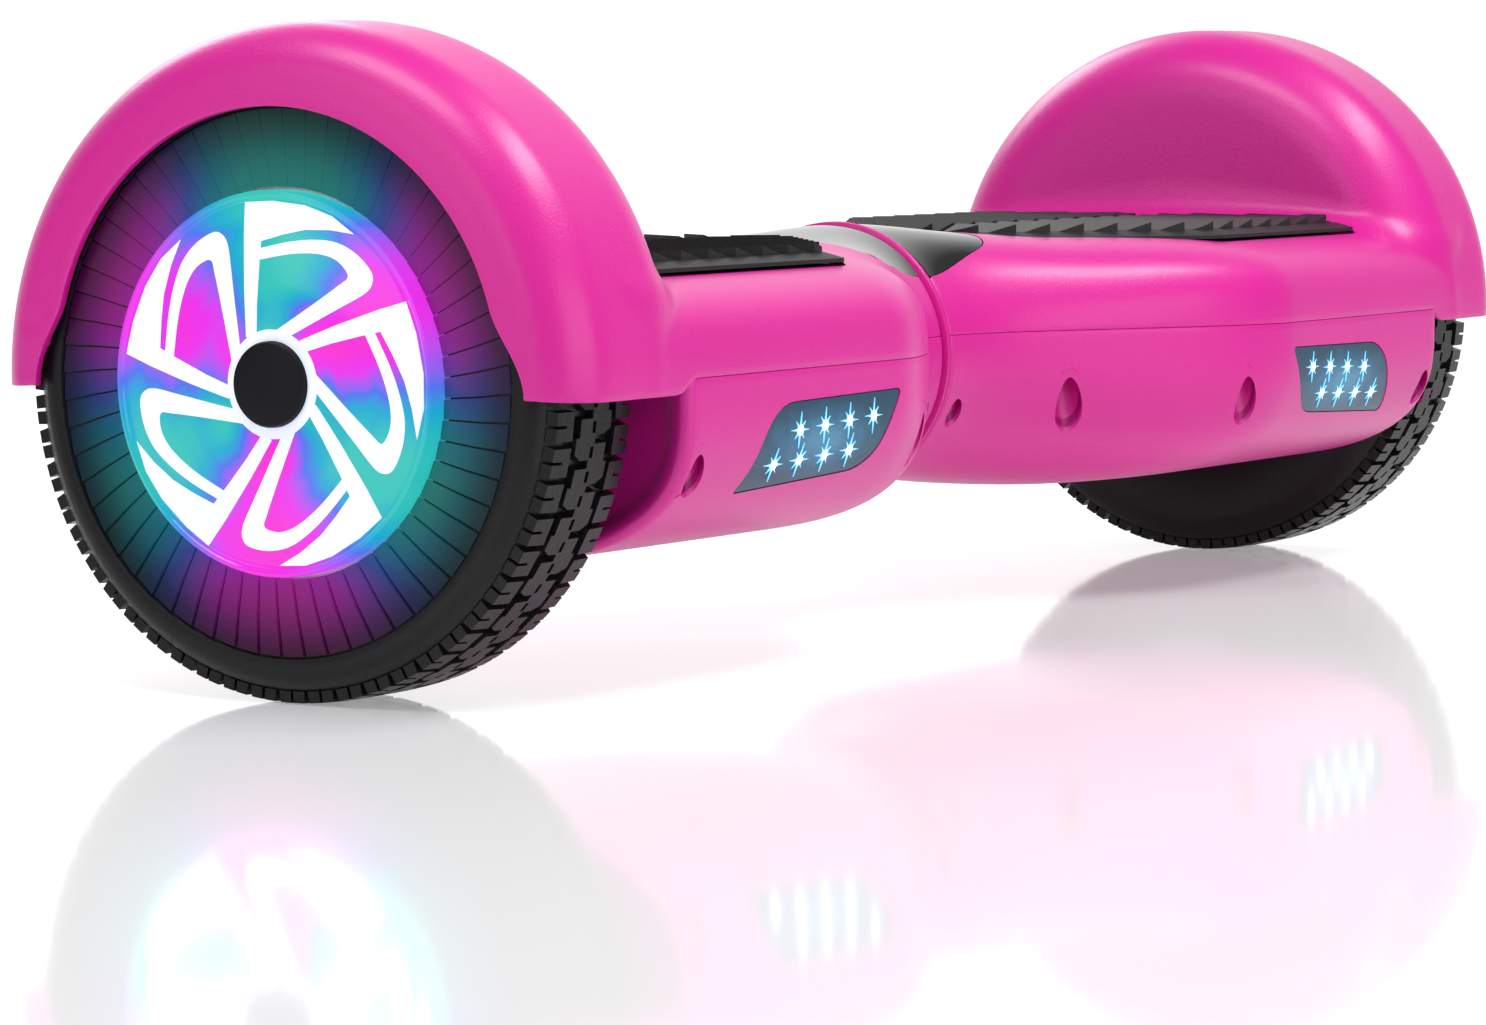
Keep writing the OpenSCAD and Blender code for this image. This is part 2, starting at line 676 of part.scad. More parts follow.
// Aluminium hub that carries the tyre, the magnets and the outer bearing
module hub_casting(side) color(cast_metal) on_side(side) along_x(wheel_x, axle_z) difference() {
    rotate_extrude() polygon([
        [bearing_r + shaft_fit, casting_out - hub_plate_t - bearing_w], [boss_r, casting_out - hub_plate_t - bearing_w],
        [boss_r, casting_out - hub_plate_t], [rotor_r, casting_out - hub_plate_t], [rotor_r, casting_in],
        [seat_r, casting_in], [seat_r, casting_out], [0, casting_out], [0, casting_out - hub_plate_t + 2.4],
        [bearing_r - 4, casting_out - hub_plate_t + 2.4], [bearing_r - 4, casting_out - hub_plate_t],
        [bearing_r + shaft_fit, casting_out - hub_plate_t]]);
    at_cover_screws() translate([0, 0, casting_in - 1]) cylinder(r = 2, h = 13);
}

module at_cover_screws() for (i = [0 : cover_screw_count - 1]) rotate([0, 0, 360 * (i + 0.5) / cover_screw_count])
    translate([(rotor_r + seat_r) / 2, 0, 0]) children();

module magnets(side) color("#c9ccd0") on_side(side) along_x(wheel_x + stator_mid - magnet_w / 2, axle_z)
    for (i = [0 : magnet_count - 1]) rotate([0, 0, 360 * i / magnet_count])
        translate([stator_r + air_gap, -4, 0]) cube([magnet_t, 8, magnet_w]);

module motor_cover(side) color(cast_metal) on_side(side) along_x(wheel_x, axle_z) difference() {
    rotate_extrude() polygon([
        [bearing_r + shaft_fit, casting_in - cover_t + 1], [bearing_r - 4, casting_in - cover_t + 1],
        [bearing_r - 4, casting_in - cover_t], [seat_r, casting_in - cover_t], [seat_r, casting_in],
        [boss_r, casting_in], [boss_r, casting_in - cover_t + 1 + bearing_w],
        [bearing_r + shaft_fit, casting_in - cover_t + 1 + bearing_w]]);
    at_cover_screws() translate([0, 0, casting_in - 20]) cylinder(r = 2.2, h = 30);
}

module cover_screws(side) color(steel) on_side(side) along_x(wheel_x, axle_z) at_cover_screws() {
    translate([0, 0, casting_in - cover_t - 1.8]) cylinder(r = 3.4, h = 1.8);
    translate([0, 0, casting_in - cover_t - eps]) cylinder(r = 1.95, h = 14);
}

module one_bearing(x) ring_x_between(x, x + bearing_w, axle_z, bearing_r, bearing_bore_r);

module bearings(side) color(steel) on_side(side) {
    one_bearing(wheel_x + casting_out - hub_plate_t - bearing_w);
    one_bearing(wheel_x + casting_in - cover_t + 1);
}

// Solid rubber tyre with round shoulders
module tyre(side) color(black) on_side(side) along_x(wheel_x, axle_z) rotate_extrude($fn = 128) {
    top = tyre_r;
    half = [[seat_r, casting_out], [seat_r - 1, half_tyre - 1.5], [seat_r, half_tyre - 0.5], [70, half_tyre],
        [76, half_tyre - 1], [top - 3, half_tyre - 4.5], [top - 0.6, half_tyre - 8], [top, half_tyre - 11]];
    other = [for (i = [len(half) - 1 : -1 : 0]) [i == 1 ? seat_r : half[i][0], -half[i][1]]];
    polygon(concat(half, other));
}

module light_board(side) color("#eceff2") on_side(side)
    ring_x_between(wheel_x + casting_out, wheel_x + casting_out + board_t, axle_z, light_r - 4, 5);

// Clear printed disc over the lights
module light_disc(side) color("#b9c9ff") on_side(side) along_x(wheel_x, axle_z) rotate_extrude($fn = 96) polygon([
    [cap_r + 0.1, disc_x - disc_wall], [light_r - disc_wall, disc_x - disc_wall], [light_r - disc_wall, casting_out],
    [light_r, casting_out], [light_r, disc_x - 1], [light_r - 1, disc_x], [cap_r + 0.1, disc_x]]);

module hub_cap(side) color(black) on_side(side) along_x(wheel_x + casting_out + board_t, axle_z) {
    reach = disc_x + cap_proud - casting_out - board_t;
    rotate_extrude() polygon([[0, 0], [cap_r, 0], [cap_r, reach - 1], [cap_r - 1, reach], [0, reach]]);
}

upper_shell(-1);  // upper_shell_left
lower_shell(-1, false);  // lower_shell_left
frame_half(-1, bush_r);  // frame_left
axle_clamp(-1);  // axle_clamp_left
clamp_bolts(-1);  // clamp_bolts_left
axle(-1);  // axle_left
stator(-1);  // stator_left
windings(-1);  // windings_left
sensor_board(-1);  // sensor_board_left
battery_pack();
battery_lead();
headlight_lens(-1);  // headlight_lens_left
headlight_board(-1);  // headlight_board_left
indicator_panel(-1);  // indicator_panel_left
shell_screws(-1);  // shell_screws_left
joint_trim_ring();
pivot_bushes();
upper_shell(1);  // upper_shell_right
lower_shell(1, true);  // lower_shell_right
frame_half(1, tube_r + shaft_fit);  // frame_right
pivot_tube();
retaining_ring();
axle_clamp(1);  // axle_clamp_right
clamp_bolts(1);  // clamp_bolts_right
axle(1);  // axle_right
stator(1);  // stator_right
windings(1);  // windings_right
sensor_board(1);  // sensor_board_right
main_board();
heat_sink();
wiring_loom();
speaker();
headlight_lens(1);  // headlight_lens_right
headlight_board(1);  // headlight_board_right
indicator_panel(1);  // indicator_panel_right
shell_screws(1);  // shell_screws_right
charge_port();
button_housing();
hub_casting(-1);  // hub_casting_left
magnets(-1);  // magnets_left
motor_cover(-1);  // motor_cover_left
bearings(-1);  // bearings_left
tyre(-1);  // tyre_left
light_board(-1);  // light_board_left
light_disc(-1);  // light_disc_left
hub_cap(-1);  // hub_cap_left
cover_screws(-1);  // cover_screws_left
hub_casting(1);  // hub_casting_right
magnets(1);  // magnets_right
motor_cover(1);  // motor_cover_right
bearings(1);  // bearings_right
tyre(1);  // tyre_right
light_board(1);  // light_board_right
light_disc(1);  // light_disc_right
hub_cap(1);  // hub_cap_right
cover_screws(1);  // cover_screws_right
foot_mat(-1);  // foot_mat_left
foot_mat(1);  // foot_mat_right
power_button();
charge_port_cap();
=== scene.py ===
# %% [markdown]
# # Self balancing hoverboard
# The board is two hollow half bodies that twist about a tube, with a wheel at each end. The
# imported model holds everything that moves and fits. This lesson dresses it: smooth moulded
# shells, a patterned tyre, lit wheel discs, ribbed rubber mats and finishes for every part.

# %% Load the frame
import json
import math
from functools import partial

import bmesh
import bpy
from mathutils import Matrix, Vector


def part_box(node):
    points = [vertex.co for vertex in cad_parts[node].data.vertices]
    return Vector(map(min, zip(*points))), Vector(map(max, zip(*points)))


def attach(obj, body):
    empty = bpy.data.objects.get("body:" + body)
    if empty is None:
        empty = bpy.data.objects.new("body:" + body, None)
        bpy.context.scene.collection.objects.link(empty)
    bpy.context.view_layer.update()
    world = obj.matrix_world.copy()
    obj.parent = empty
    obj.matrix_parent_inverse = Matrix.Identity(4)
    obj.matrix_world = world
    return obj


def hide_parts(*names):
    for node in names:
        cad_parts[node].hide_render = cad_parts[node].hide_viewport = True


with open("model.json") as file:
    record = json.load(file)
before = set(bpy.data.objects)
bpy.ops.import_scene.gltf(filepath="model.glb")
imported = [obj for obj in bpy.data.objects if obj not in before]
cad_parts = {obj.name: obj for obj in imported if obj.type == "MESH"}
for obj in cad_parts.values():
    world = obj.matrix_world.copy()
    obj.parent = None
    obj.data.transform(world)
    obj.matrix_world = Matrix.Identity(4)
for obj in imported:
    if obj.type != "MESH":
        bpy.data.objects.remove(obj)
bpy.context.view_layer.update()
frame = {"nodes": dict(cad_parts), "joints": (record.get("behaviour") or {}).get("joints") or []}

SIDES = ("left", "right")
MM = 0.001

# %% [markdown]
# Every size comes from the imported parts' own boxes, in millimetres, so a piece lands where the
# part it dresses is. The joints give the axles and the pivot.

# %% Sizes
def span_mm(node, axis):
    """Lowest and highest coordinate of a CAD node along one axis, in millimetres."""
    low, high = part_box(node)
    return low[axis] / MM, high[axis] / MM

def joint_at(name):
    """Where a joint sits, in millimetres."""
    return [c / MM for c in next(j for j in frame["joints"] if j["name"] == name)["pos_m"]]

AXLE_Z = joint_at("right_wheel_spin")[2]
WHEEL_X = joint_at("right_wheel_spin")[0]
PIVOT_Z = joint_at("twist")[2]
TYRE_R = span_mm("tyre_right", 2)[1] - AXLE_Z
TYRE_W = span_mm("tyre_right", 0)[1] - span_mm("tyre_right", 0)[0]
GUARD_R = span_mm("upper_shell_right", 2)[1] - AXLE_Z
GUARD_X = span_mm("upper_shell_right", 0)[1]
HALF_DEPTH = -span_mm("lower_shell_left", 1)[0]
BELLY_Z = span_mm("lower_shell_right", 2)[0]
SPLIT_Z = span_mm("lower_shell_right", 2)[1] + 0.15
RIM_X = span_mm("lower_shell_right", 0)[1]
DISC_R = span_mm("light_disc_right", 2)[1] - AXLE_Z
DISC_X = span_mm("light_disc_right", 0)[1]
CAP_R = span_mm("hub_cap_right", 2)[1] - AXLE_Z
MAT_TOP = span_mm("foot_mat_right", 2)[1]
print(f"tyre {TYRE_R:.1f} x {TYRE_W:.1f}, guard {GUARD_R:.1f} to x {GUARD_X:.1f}, split {SPLIT_Z:.2f}")

# %% [markdown]
# ## Helpers
# A piece starts as a bmesh drawn for the right half. Mirroring it in X gives the left one; that
# turns its faces inside out, so they are reversed in the same step. A finished piece keeps its
# object at the origin and its place in its mesh, rides on a body and stands for a CAD node.

# %% Make and finish pieces
def to_side(bm, side):
    """Mirror a bmesh drawn for the right half when it is for the left one."""
    if side == "left":
        bmesh.ops.scale(bm, vec=(-1, 1, 1), verts=bm.verts)
        bmesh.ops.reverse_faces(bm, faces=bm.faces)

def make_object(name, bm):
    mesh = bpy.data.meshes.new(name)
    bm.to_mesh(mesh)
    bm.free()
    thing = bpy.data.objects.new(name, mesh)
    bpy.context.scene.collection.objects.link(thing)
    return thing

def taken_mesh(thing):
    """A piece's mesh as a bmesh. The piece itself is removed."""
    bm = bmesh.new()
    bm.from_mesh(thing.data)
    bpy.data.objects.remove(thing)
    return bm

def mirrored_for(thing, side):
    """A made piece, mirrored when it is for the left half."""
    bm = bmesh.new()
    bm.from_mesh(thing.data)
    to_side(bm, side)
    bm.to_mesh(thing.data)
    bm.free()
    return thing

def finish_piece(thing, body, material, stands_for=(), smooth_deg=32):
    """Shade smooth up to an angle, give the finish, and put the piece on its body."""
    thing.data.shade_smooth()
    thing.data.set_sharp_from_angle(angle=math.radians(smooth_deg))
    thing.data.materials.clear()
    thing.data.materials.append(material)
    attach(thing, body)
    if stands_for:
        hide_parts(*stands_for)
    return thing

def apply_modifiers(thing):
    """Turn a piece's live modifiers into plain mesh."""
    depsgraph = bpy.context.evaluated_depsgraph_get()
    mesh = bpy.data.meshes.new_from_object(thing.evaluated_get(depsgraph))
    thing.modifiers.clear()
    old = thing.data
    thing.data = mesh
    bpy.data.meshes.remove(old)

def thicken(thing, wall, offset=-1):
    """Solidify a sheet by a wall in millimetres, inwards unless the offset is 1."""
    step = thing.modifiers.new("wall", "SOLIDIFY")
    step.thickness = wall * MM
    step.offset = offset
    apply_modifiers(thing)

def carve(thing, tool_bm, operation="DIFFERENCE"):
    """Cut, join or keep what a piece shares with a tool shape."""
    tool = make_object("tool", tool_bm)
    step = thing.modifiers.new("carve", "BOOLEAN")
    step.object = tool
    step.operation = operation
    step.solver = "EXACT"
    apply_modifiers(thing)
    bpy.data.objects.remove(tool)

def drawn_out(bm, faces):
    """Extrude faces and return their new vertices, which still lie on the old ones."""
    made = bmesh.ops.extrude_face_region(bm, geom=faces)["geom"]
    return [g for g in made if isinstance(g, bmesh.types.BMVert)]

def prism(bm, outline, low, high, plane="XY"):
    """A flat outline in millimetres, drawn out between two heights."""
    def place(a, b, c):
        return (a * MM, b * MM, c * MM) if plane == "XY" else (a * MM, c * MM, b * MM)
    face = bm.faces.new([bm.verts.new(place(a, b, low)) for a, b in outline])
    far_end = drawn_out(bm, [face])
    bmesh.ops.translate(bm, vec=place(0, 0, high - low), verts=far_end)
    bmesh.ops.recalc_face_normals(bm, faces=bm.faces)

def spin_x(bm, profile, z, steps=96, closed=True):
    """Turn a profile of (x, radius) in millimetres about an axle along X."""
    verts = [bm.verts.new((x * MM, 0, (z + r) * MM)) for x, r in profile]
    pairs = list(zip(verts, verts[1:] + verts[:1])) if closed else list(zip(verts, verts[1:]))
    edges = [bm.edges.new(pair) for pair in pairs]
    bmesh.ops.spin(bm, geom=verts + edges, cent=(0, 0, z * MM), axis=(1, 0, 0),
                   angle=math.tau, steps=steps, use_merge=True, use_duplicate=False)
    bmesh.ops.remove_doubles(bm, verts=bm.verts, dist=0.000005)
    bmesh.ops.recalc_face_normals(bm, faces=bm.faces)

def corner_sides(outline, i):
    """A corner of an outline and the directions of its two sides."""
    here = Vector(outline[i])
    back = (Vector(outline[i - 1]) - here).normalized()
    ahead = (Vector(outline[(i + 1) % len(outline)]) - here).normalized()
    return here, back, ahead

def rounded(outline, radius, steps=6):
    """The outline with every corner replaced by an arc."""
    result = []
    for i in range(len(outline)):
        here, back, ahead = corner_sides(outline, i)
        half = back.angle(ahead) / 2
        reach = radius / math.tan(half)
        centre = here + (back + ahead).normalized() * (radius / math.sin(half))
        start = here + back * reach - centre
        end = here + ahead * reach - centre
        first = math.atan2(start.y, start.x)
        sweep = (math.atan2(end.y, end.x) - first + math.pi) % math.tau - math.pi
        for k in range(steps + 1):
            t = first + sweep * k / steps
            result.append((centre.x + radius * math.cos(t), centre.y + radius * math.sin(t)))
    return result

def grown(outline, more):
    """A convex outline, counted anticlockwise or not, moved out by a distance."""
    middle = sum((Vector(p) for p in outline), Vector((0, 0))) / len(outline)
    result = []
    for i in range(len(outline)):
        here, back, ahead = corner_sides(outline, i)
        inwards = (back + ahead).normalized()
        if inwards.dot(middle - here) < 0:
            inwards.negate()
        result.append(tuple(here - inwards * (more / math.sin(back.angle(ahead) / 2))))
    return result

def smooth_line(points, steps=4):
    """A curve through a few points, as a Catmull-Rom spline, for a shape that bends."""
    path = []
    ends = [points[0]] + list(points) + [points[-1]]
    for p0, p1, p2, p3 in zip(ends, ends[1:], ends[2:], ends[3:]):
        for k in range(steps):
            t = k / steps
            path.append(tuple(0.5 * (2 * b + (c - a) * t + (2 * a - 5 * b + 4 * c - d) * t * t
                                     + (3 * b - a - 3 * c + d) * t ** 3)
                              for a, b, c, d in zip(p0, p1, p2, p3)))
    return path + [points[-1]]

# %% [markdown]
# ## Finishes
# Each finish is a node material. The shells are satin plastic with the fine leather grain of a
# textured mould, so a small noise drives their bump and a larger one their roughness.

# %% Node helpers
def new_finish(name, **settings):
    """A material with plain values on its shader, and what is needed to build on it."""
    material = bpy.data.materials.new(name)
    material.use_nodes = True
    nodes = material.node_tree.nodes
    shader = nodes["Principled BSDF"]
    for socket, value in settings.items():
        shader.inputs[socket.replace("_", " ")].default_value = value
    return material, nodes, material.node_tree.links, shader

def object_noise(nodes, links, scale, detail=3.0):
    """Noise in the piece's own coordinates, so that it moves with the piece."""
    place = nodes.new("ShaderNodeTexCoord")
    noise = nodes.new("ShaderNodeTexNoise")
    noise.inputs["Scale"].default_value = scale
    noise.inputs["Detail"].default_value = detail
    links.new(place.outputs["Object"], noise.inputs["Vector"])
    return noise.outputs["Fac"]

def ramp(nodes, links, source, stops):
    """A colour ramp with (position, colour) stops."""
    node = nodes.new("ShaderNodeValToRGB")
    while len(node.color_ramp.elements) < len(stops):
        node.color_ramp.elements.new(0.5)
    for element, (position, colour) in zip(node.color_ramp.elements, stops):
        element.position = position
        element.color = (*colour, 1)
    links.new(source, node.inputs["Fac"])
    return node.outputs["Color"]

def spread(nodes, links, source, low, high):
    """A 0 to 1 value stretched between two others."""
    node = nodes.new("ShaderNodeMapRange")
    node.inputs["To Min"].default_value = low
    node.inputs["To Max"].default_value = high
    links.new(source, node.inputs["Value"])
    return node.outputs["Result"]

def arithmetic(nodes, links, kind, *inputs):
    """One step of arithmetic. Each input is a number or another node's socket."""
    node = nodes.new("ShaderNodeMath")
    node.operation = kind
    for socket, value in zip(node.inputs, inputs):
        if isinstance(value, (int, float)):
            socket.default_value = value
        else:
            links.new(value, socket)
    return node.outputs[0]

def object_axes(nodes, links):
    """The piece's own coordinates, split into X, Y and Z."""
    split = nodes.new("ShaderNodeSeparateXYZ")
    links.new(nodes.new("ShaderNodeTexCoord").outputs["Object"], split.inputs[0])
    return split.outputs

def scaled_colour(nodes, links, colour, amount):
    """A colour made darker by a number or by a socket."""
    node = nodes.new("ShaderNodeVectorMath")
    node.operation = "SCALE"
    links.new(colour, node.inputs[0])
    if isinstance(amount, (int, float)):
        node.inputs["Scale"].default_value = amount
    else:
        links.new(amount, node.inputs["Scale"])
    return node.outputs[0]

def add_bump(nodes, links, shader, height, distance):
    """Let a height socket shape the shading, as deep as the distance in metres."""
    bump = nodes.new("ShaderNodeBump")
    bump.inputs["Strength"].default_value = 1.0
    bump.inputs["Distance"].default_value = distance
    links.new(height, bump.inputs["Height"])
    links.new(bump.outputs["Normal"], shader.inputs["Normal"])

def grained(name, dark, light, rough, grain, depth, metallic=0.0, patch=9.0, **settings):
    """A finish with slow colour patches, uneven gloss and a fine surface grain."""
    material, nodes, links, shader = new_finish(name, Metallic=metallic, **settings)
    slow = object_noise(nodes, links, patch)
    links.new(ramp(nodes, links, slow, [(0.3, dark), (0.7, light)]), shader.inputs["Base Color"])
    links.new(spread(nodes, links, slow, *rough), shader.inputs["Roughness"])
    add_bump(nodes, links, shader, object_noise(nodes, links, grain, 2.0), depth)
    return material

# %% The finishes
SHELL = grained("moulded_pink", (0.60, 0.008, 0.262), (0.64, 0.010, 0.280), (0.36, 0.46), 1500, 0.00013,
                Coat_Weight=0.4, Coat_Roughness=0.27, Specular_IOR_Level=0.3)
RUBBER = grained("mat_rubber", (0.008, 0.008, 0.009), (0.014, 0.014, 0.015),
                 (0.45, 0.62), 1400, 0.00012,
                 Specular_IOR_Level=0.35)
TYRE_RUBBER = grained("tyre_rubber", (0.004, 0.004, 0.005), (0.008, 0.008, 0.009),
                      (0.22, 0.40), 900, 0.0001,
                      Specular_IOR_Level=0.22)
CAP_BLACK = grained("cap_black", (0.003, 0.003, 0.004), (0.005, 0.005, 0.007),
                    (0.35, 0.5), 900, 0.00004,
                    Specular_IOR_Level=0.15)
BLACK_GLOSS = grained("panel_black", (0.004, 0.004, 0.005), (0.006, 0.006, 0.007),
                      (0.05, 0.10), 60, 0.00002,
                      Coat_Weight=0.4, Coat_Roughness=0.03)
BLACK_FITTING = grained("fitting_black", (0.012, 0.012, 0.014), (0.018, 0.018, 0.02),
                        (0.32, 0.45), 1100, 0.00008)
CAST = grained("cast_aluminium", (0.42, 0.43, 0.44), (0.52, 0.53, 0.54),
               (0.38, 0.55), 700, 0.00015, metallic=1.0)
STEEL = grained("turned_steel", (0.50, 0.50, 0.51), (0.60, 0.60, 0.61),
                (0.22, 0.34), 1600, 0.00004, metallic=1.0)
LAMINATION = grained("lamination_steel", (0.16, 0.16, 0.17), (0.22, 0.22, 0.23),
                     (0.4, 0.5), 2200, 0.0001, metallic=1.0)
COPPER = grained("enamelled_copper", (0.55, 0.20, 0.08), (0.65, 0.26, 0.11),
                 (0.22, 0.32), 1800, 0.00012, metallic=1.0)
NICKEL = grained("magnet_nickel", (0.60, 0.60, 0.60), (0.68, 0.68, 0.67),
                 (0.15, 0.25), 500, 0.00002, metallic=1.0)
BOARD = grained("board_green", (0.010, 0.085, 0.035), (0.014, 0.11, 0.05),
                (0.25, 0.40), 700, 0.00005, patch=60)
WHITE_BOARD = grained("board_white", (0.70, 0.70, 0.70), (0.78, 0.78, 0.78), (0.3, 0.4), 700, 0.00004)
WRAP = grained("battery_wrap", (0.015, 0.065, 0.25), (0.020, 0.085, 0.31), (0.15, 0.30), 260, 0.00025)
LEAD = grained("lead_red", (0.35, 0.015, 0.012), (0.42, 0.02, 0.016), (0.35, 0.5), 900, 0.00005)
BUSH = grained("bush_nylon", (0.68, 0.66, 0.60), (0.74, 0.72, 0.66), (0.4, 0.5), 900, 0.00004)

# %% The headlight's lens
def lens_finish(centre_x, centre_z):
    """Dark teal that is lighter where the lamps shine through its middle."""
    material, nodes, links, shader = new_finish("lens_teal", Roughness=0.14, Specular_IOR_Level=0.3,
                                                Emission_Strength=0.55)
    math_node = partial(arithmetic, nodes, links)
    axes = object_axes(nodes, links)
    from_middle = math_node("SUBTRACT", math_node("ABSOLUTE", axes["X"]), centre_x * MM)
    along = math_node("MULTIPLY", from_middle, 29.0)
    up = math_node("MULTIPLY", math_node("SUBTRACT", axes["Z"], centre_z * MM), 92.0)
    squares = math_node("ADD", math_node("POWER", along, 2.0), math_node("POWER", up, 2.0))
    away = math_node("SQRT", squares)
    blotch = math_node("MULTIPLY_ADD", object_noise(nodes, links, 160), 0.5, -0.25)
    glow = ramp(nodes, links, math_node("ADD", away, blotch),
                [(0.15, (0.10, 0.36, 0.58)), (0.65, (0.015, 0.12, 0.24)), (1.0, (0.004, 0.025, 0.055))])
    links.new(glow, shader.inputs["Emission Color"])
    shader.inputs["Base Color"].default_value = (0.008, 0.04, 0.07, 1)
    add_bump(nodes, links, shader, object_noise(nodes, links, 500), 0.00002)
    return material

LENS = lens_finish(166, 65)

def lit(name, colour, strength):
    """A plain light-giving print or emitter, a little uneven as a real one is."""
    material, nodes, links, shader = new_finish(name, Roughness=0.3, Emission_Strength=strength)
    slow = object_noise(nodes, links, 70)
    paler = tuple(min(1.0, c * 1.08 + 0.02) for c in colour)
    glow = ramp(nodes, links, slow, [(0.3, colour), (0.7, paler)])
    links.new(glow, shader.inputs["Base Color"])
    links.new(glow, shader.inputs["Emission Color"])
    return material

WHITE_LIGHT = lit("led_white", (0.92, 0.97, 1.0), 2.2)
RAY_LIGHT = lit("led_ray", (0.16, 0.55, 0.95), 1.0)
PRINT = lit("print_white", (0.70, 0.74, 0.84), 0.38)

# %% [markdown]
# The wheel's light comes from a ring of coloured lamps that blur into each other as it turns.
# Three teal and three magenta fields alternate round the axle, with blue and violet between.
# The angle round the axle comes from the piece's own coordinates, so the colours turn with it.

# %% Coloured light round the axle
COLOUR_TURNS = 3

def wheel_glow(name, strength, shade, rough, cell=0.5, fade=(1.0, 1.0), **settings):
    """Colour by the angle round the axle. The shade darkens the surface under the light, and
    the fade is how much light is left at the disc's rim and at the tyre's edge."""
    material, nodes, links, shader = new_finish(name, Roughness=rough, Emission_Strength=strength,
                                                **settings)
    math_node = partial(arithmetic, nodes, links)
    axes = object_axes(nodes, links)
    up = math_node("SUBTRACT", axes["Z"], AXLE_Z * MM)
    across = math_node("MULTIPLY", axes["Y"], -1.0)
    angle = math_node("ARCTAN2", up, across)
    squares = math_node("ADD", math_node("MULTIPLY", up, up), math_node("MULTIPLY", across, across))
    radius = math_node("SQRT", squares)
    swirl = nodes.new("ShaderNodeCombineXYZ")
    links.new(math_node("MULTIPLY", radius, 130.0), swirl.inputs["X"])
    links.new(math_node("MULTIPLY", math_node("COSINE", angle), 1.6), swirl.inputs["Y"])
    links.new(math_node("MULTIPLY", math_node("SINE", angle), 1.6), swirl.inputs["Z"])
    noise = nodes.new("ShaderNodeTexNoise")
    noise.inputs["Scale"].default_value = cell
    noise.inputs["Detail"].default_value = 2.0
    links.new(swirl.outputs[0], noise.inputs["Vector"])
    fields = math_node("SINE", math_node("MULTIPLY_ADD", angle, COLOUR_TURNS, -math.pi))
    uneven = math_node("MULTIPLY_ADD", noise.outputs["Fac"], 0.9, 0.05)
    mixed = math_node("MULTIPLY_ADD", fields, 0.42, uneven)
    colours = [(0.02, (0.90, 0.03, 0.62)), (0.22, (0.80, 0.03, 0.80)), (0.40, (0.36, 0.10, 0.85)),
               (0.54, (0.08, 0.17, 0.82)), (0.72, (0.01, 0.38, 0.62)), (0.95, (0.03, 0.52, 0.47))]
    glow = ramp(nodes, links, mixed, colours)
    left = nodes.new("ShaderNodeMapRange")
    left.interpolation_type = "SMOOTHSTEP"
    ends = {"From Min": DISC_R * MM, "From Max": 0.073, "To Min": fade[0], "To Max": fade[1]}
    for socket, value in ends.items():
        left.inputs[socket].default_value = value
    links.new(radius, left.inputs["Value"])
    faded = scaled_colour(nodes, links, glow, left.outputs["Result"])
    links.new(scaled_colour(nodes, links, faded, shade), shader.inputs["Base Color"])
    links.new(faded, shader.inputs["Emission Color"])
    return material

DISC_GLOW = wheel_glow("disc_glow", 0.95, 0.12, 0.12, Specular_IOR_Level=0.35)
# Painted light: the vanes are no lamp. This faint glow paints the disc's coloured light spilling over
# them, fading towards the tyre's edge.
SIDE_SPILL_PAINT = wheel_glow("sidewall_painted_spill", 0.27, 0.05, 0.32, cell=0.25, fade=(1.0, 0.10),
                       Specular_IOR_Level=0.2)
print(len(bpy.data.materials), "finishes")

# %% [markdown]
# ## The body's shape
# Seen along the board, the body is a round waist that grows into a squarish section. Round the
# wheel it meets the mudguard. Both are written as fields: zero on the surface, negative inside.
# Adding them with a soft minimum gives the small moulded fillet where platform meets mudguard.

# %% Body and mudguard fields
WAIST_R = 39.2
BLEND = 124.0
GUARD_WALL_X = 229.0
SHOULDER_IN = 22.0
SHOULDER_OUT = 17.0
SHOULDER_R = GUARD_R - SHOULDER_IN
PLATFORM_Z = 113.5

def ease(t):
    """A smooth step from 0 to 1."""
    t = min(max(t, 0.0), 1.0)
    return t * t * (3 - 2 * t)

def section(x):
    """Half depth, rise, drop and the two exponents of the body's section at x."""
    width = WAIST_R + (HALF_DEPTH - WAIST_R) * ease((x - 2) / BLEND)
    rise = WAIST_R + (PLATFORM_Z - PIVOT_Z - WAIST_R) * ease((x - 4) / 70)
    drop = WAIST_R + (PIVOT_Z - BELLY_Z - WAIST_R) * ease((x - 4) / 90)
    square = ease((x - 4) / 110)
    return width, rise, drop, 2 + 2.2 * square, 2 + 0.9 * square

def body_field(x, y, z):
    """How far a point is outside the body, roughly in millimetres."""
    width, rise, drop, top_power, low_power = section(x)
    up = z - PIVOT_Z
    reach = math.hypot(y, up)
    if reach < 1e-6:
        return -WAIST_R
    c, s = abs(y) / reach, abs(up) / reach
    height, power = (rise, top_power) if up >= 0 else (drop, low_power)
    return reach - ((c / width) ** power + (s / height) ** power) ** (-1 / power)

def ended_body_field(x, y, z):
    """The body, ended under the mudguard's flat top so that it never shows past it."""
    return max(body_field(x, y, z), x - GUARD_WALL_X - SHOULDER_IN)

def guard_field(x, y, z):
    """How far a point is outside the mudguard's rounded drum."""
    middle = (GUARD_WALL_X + GUARD_X) / 2
    corner = SHOULDER_IN if x < middle else SHOULDER_OUT
    side = abs(x - middle) - (GUARD_X - GUARD_WALL_X) / 2 + corner
    out = math.hypot(y, z - AXLE_Z) - GUARD_R + corner
    return min(max(side, out), 0) + math.hypot(max(side, 0), max(out, 0)) - corner

def skin_field(x, y, z):
    """Body and mudguard with a fillet between them, tight where they already run together."""
    body, guard = ended_body_field(x, y, z), guard_field(x, y, z)
    fillet = 1.0 + 13.0 * ease((z - 97) / 14)
    near = max(fillet - abs(body - guard), 0) / fillet
    return min(body, guard) - near * near * fillet / 4

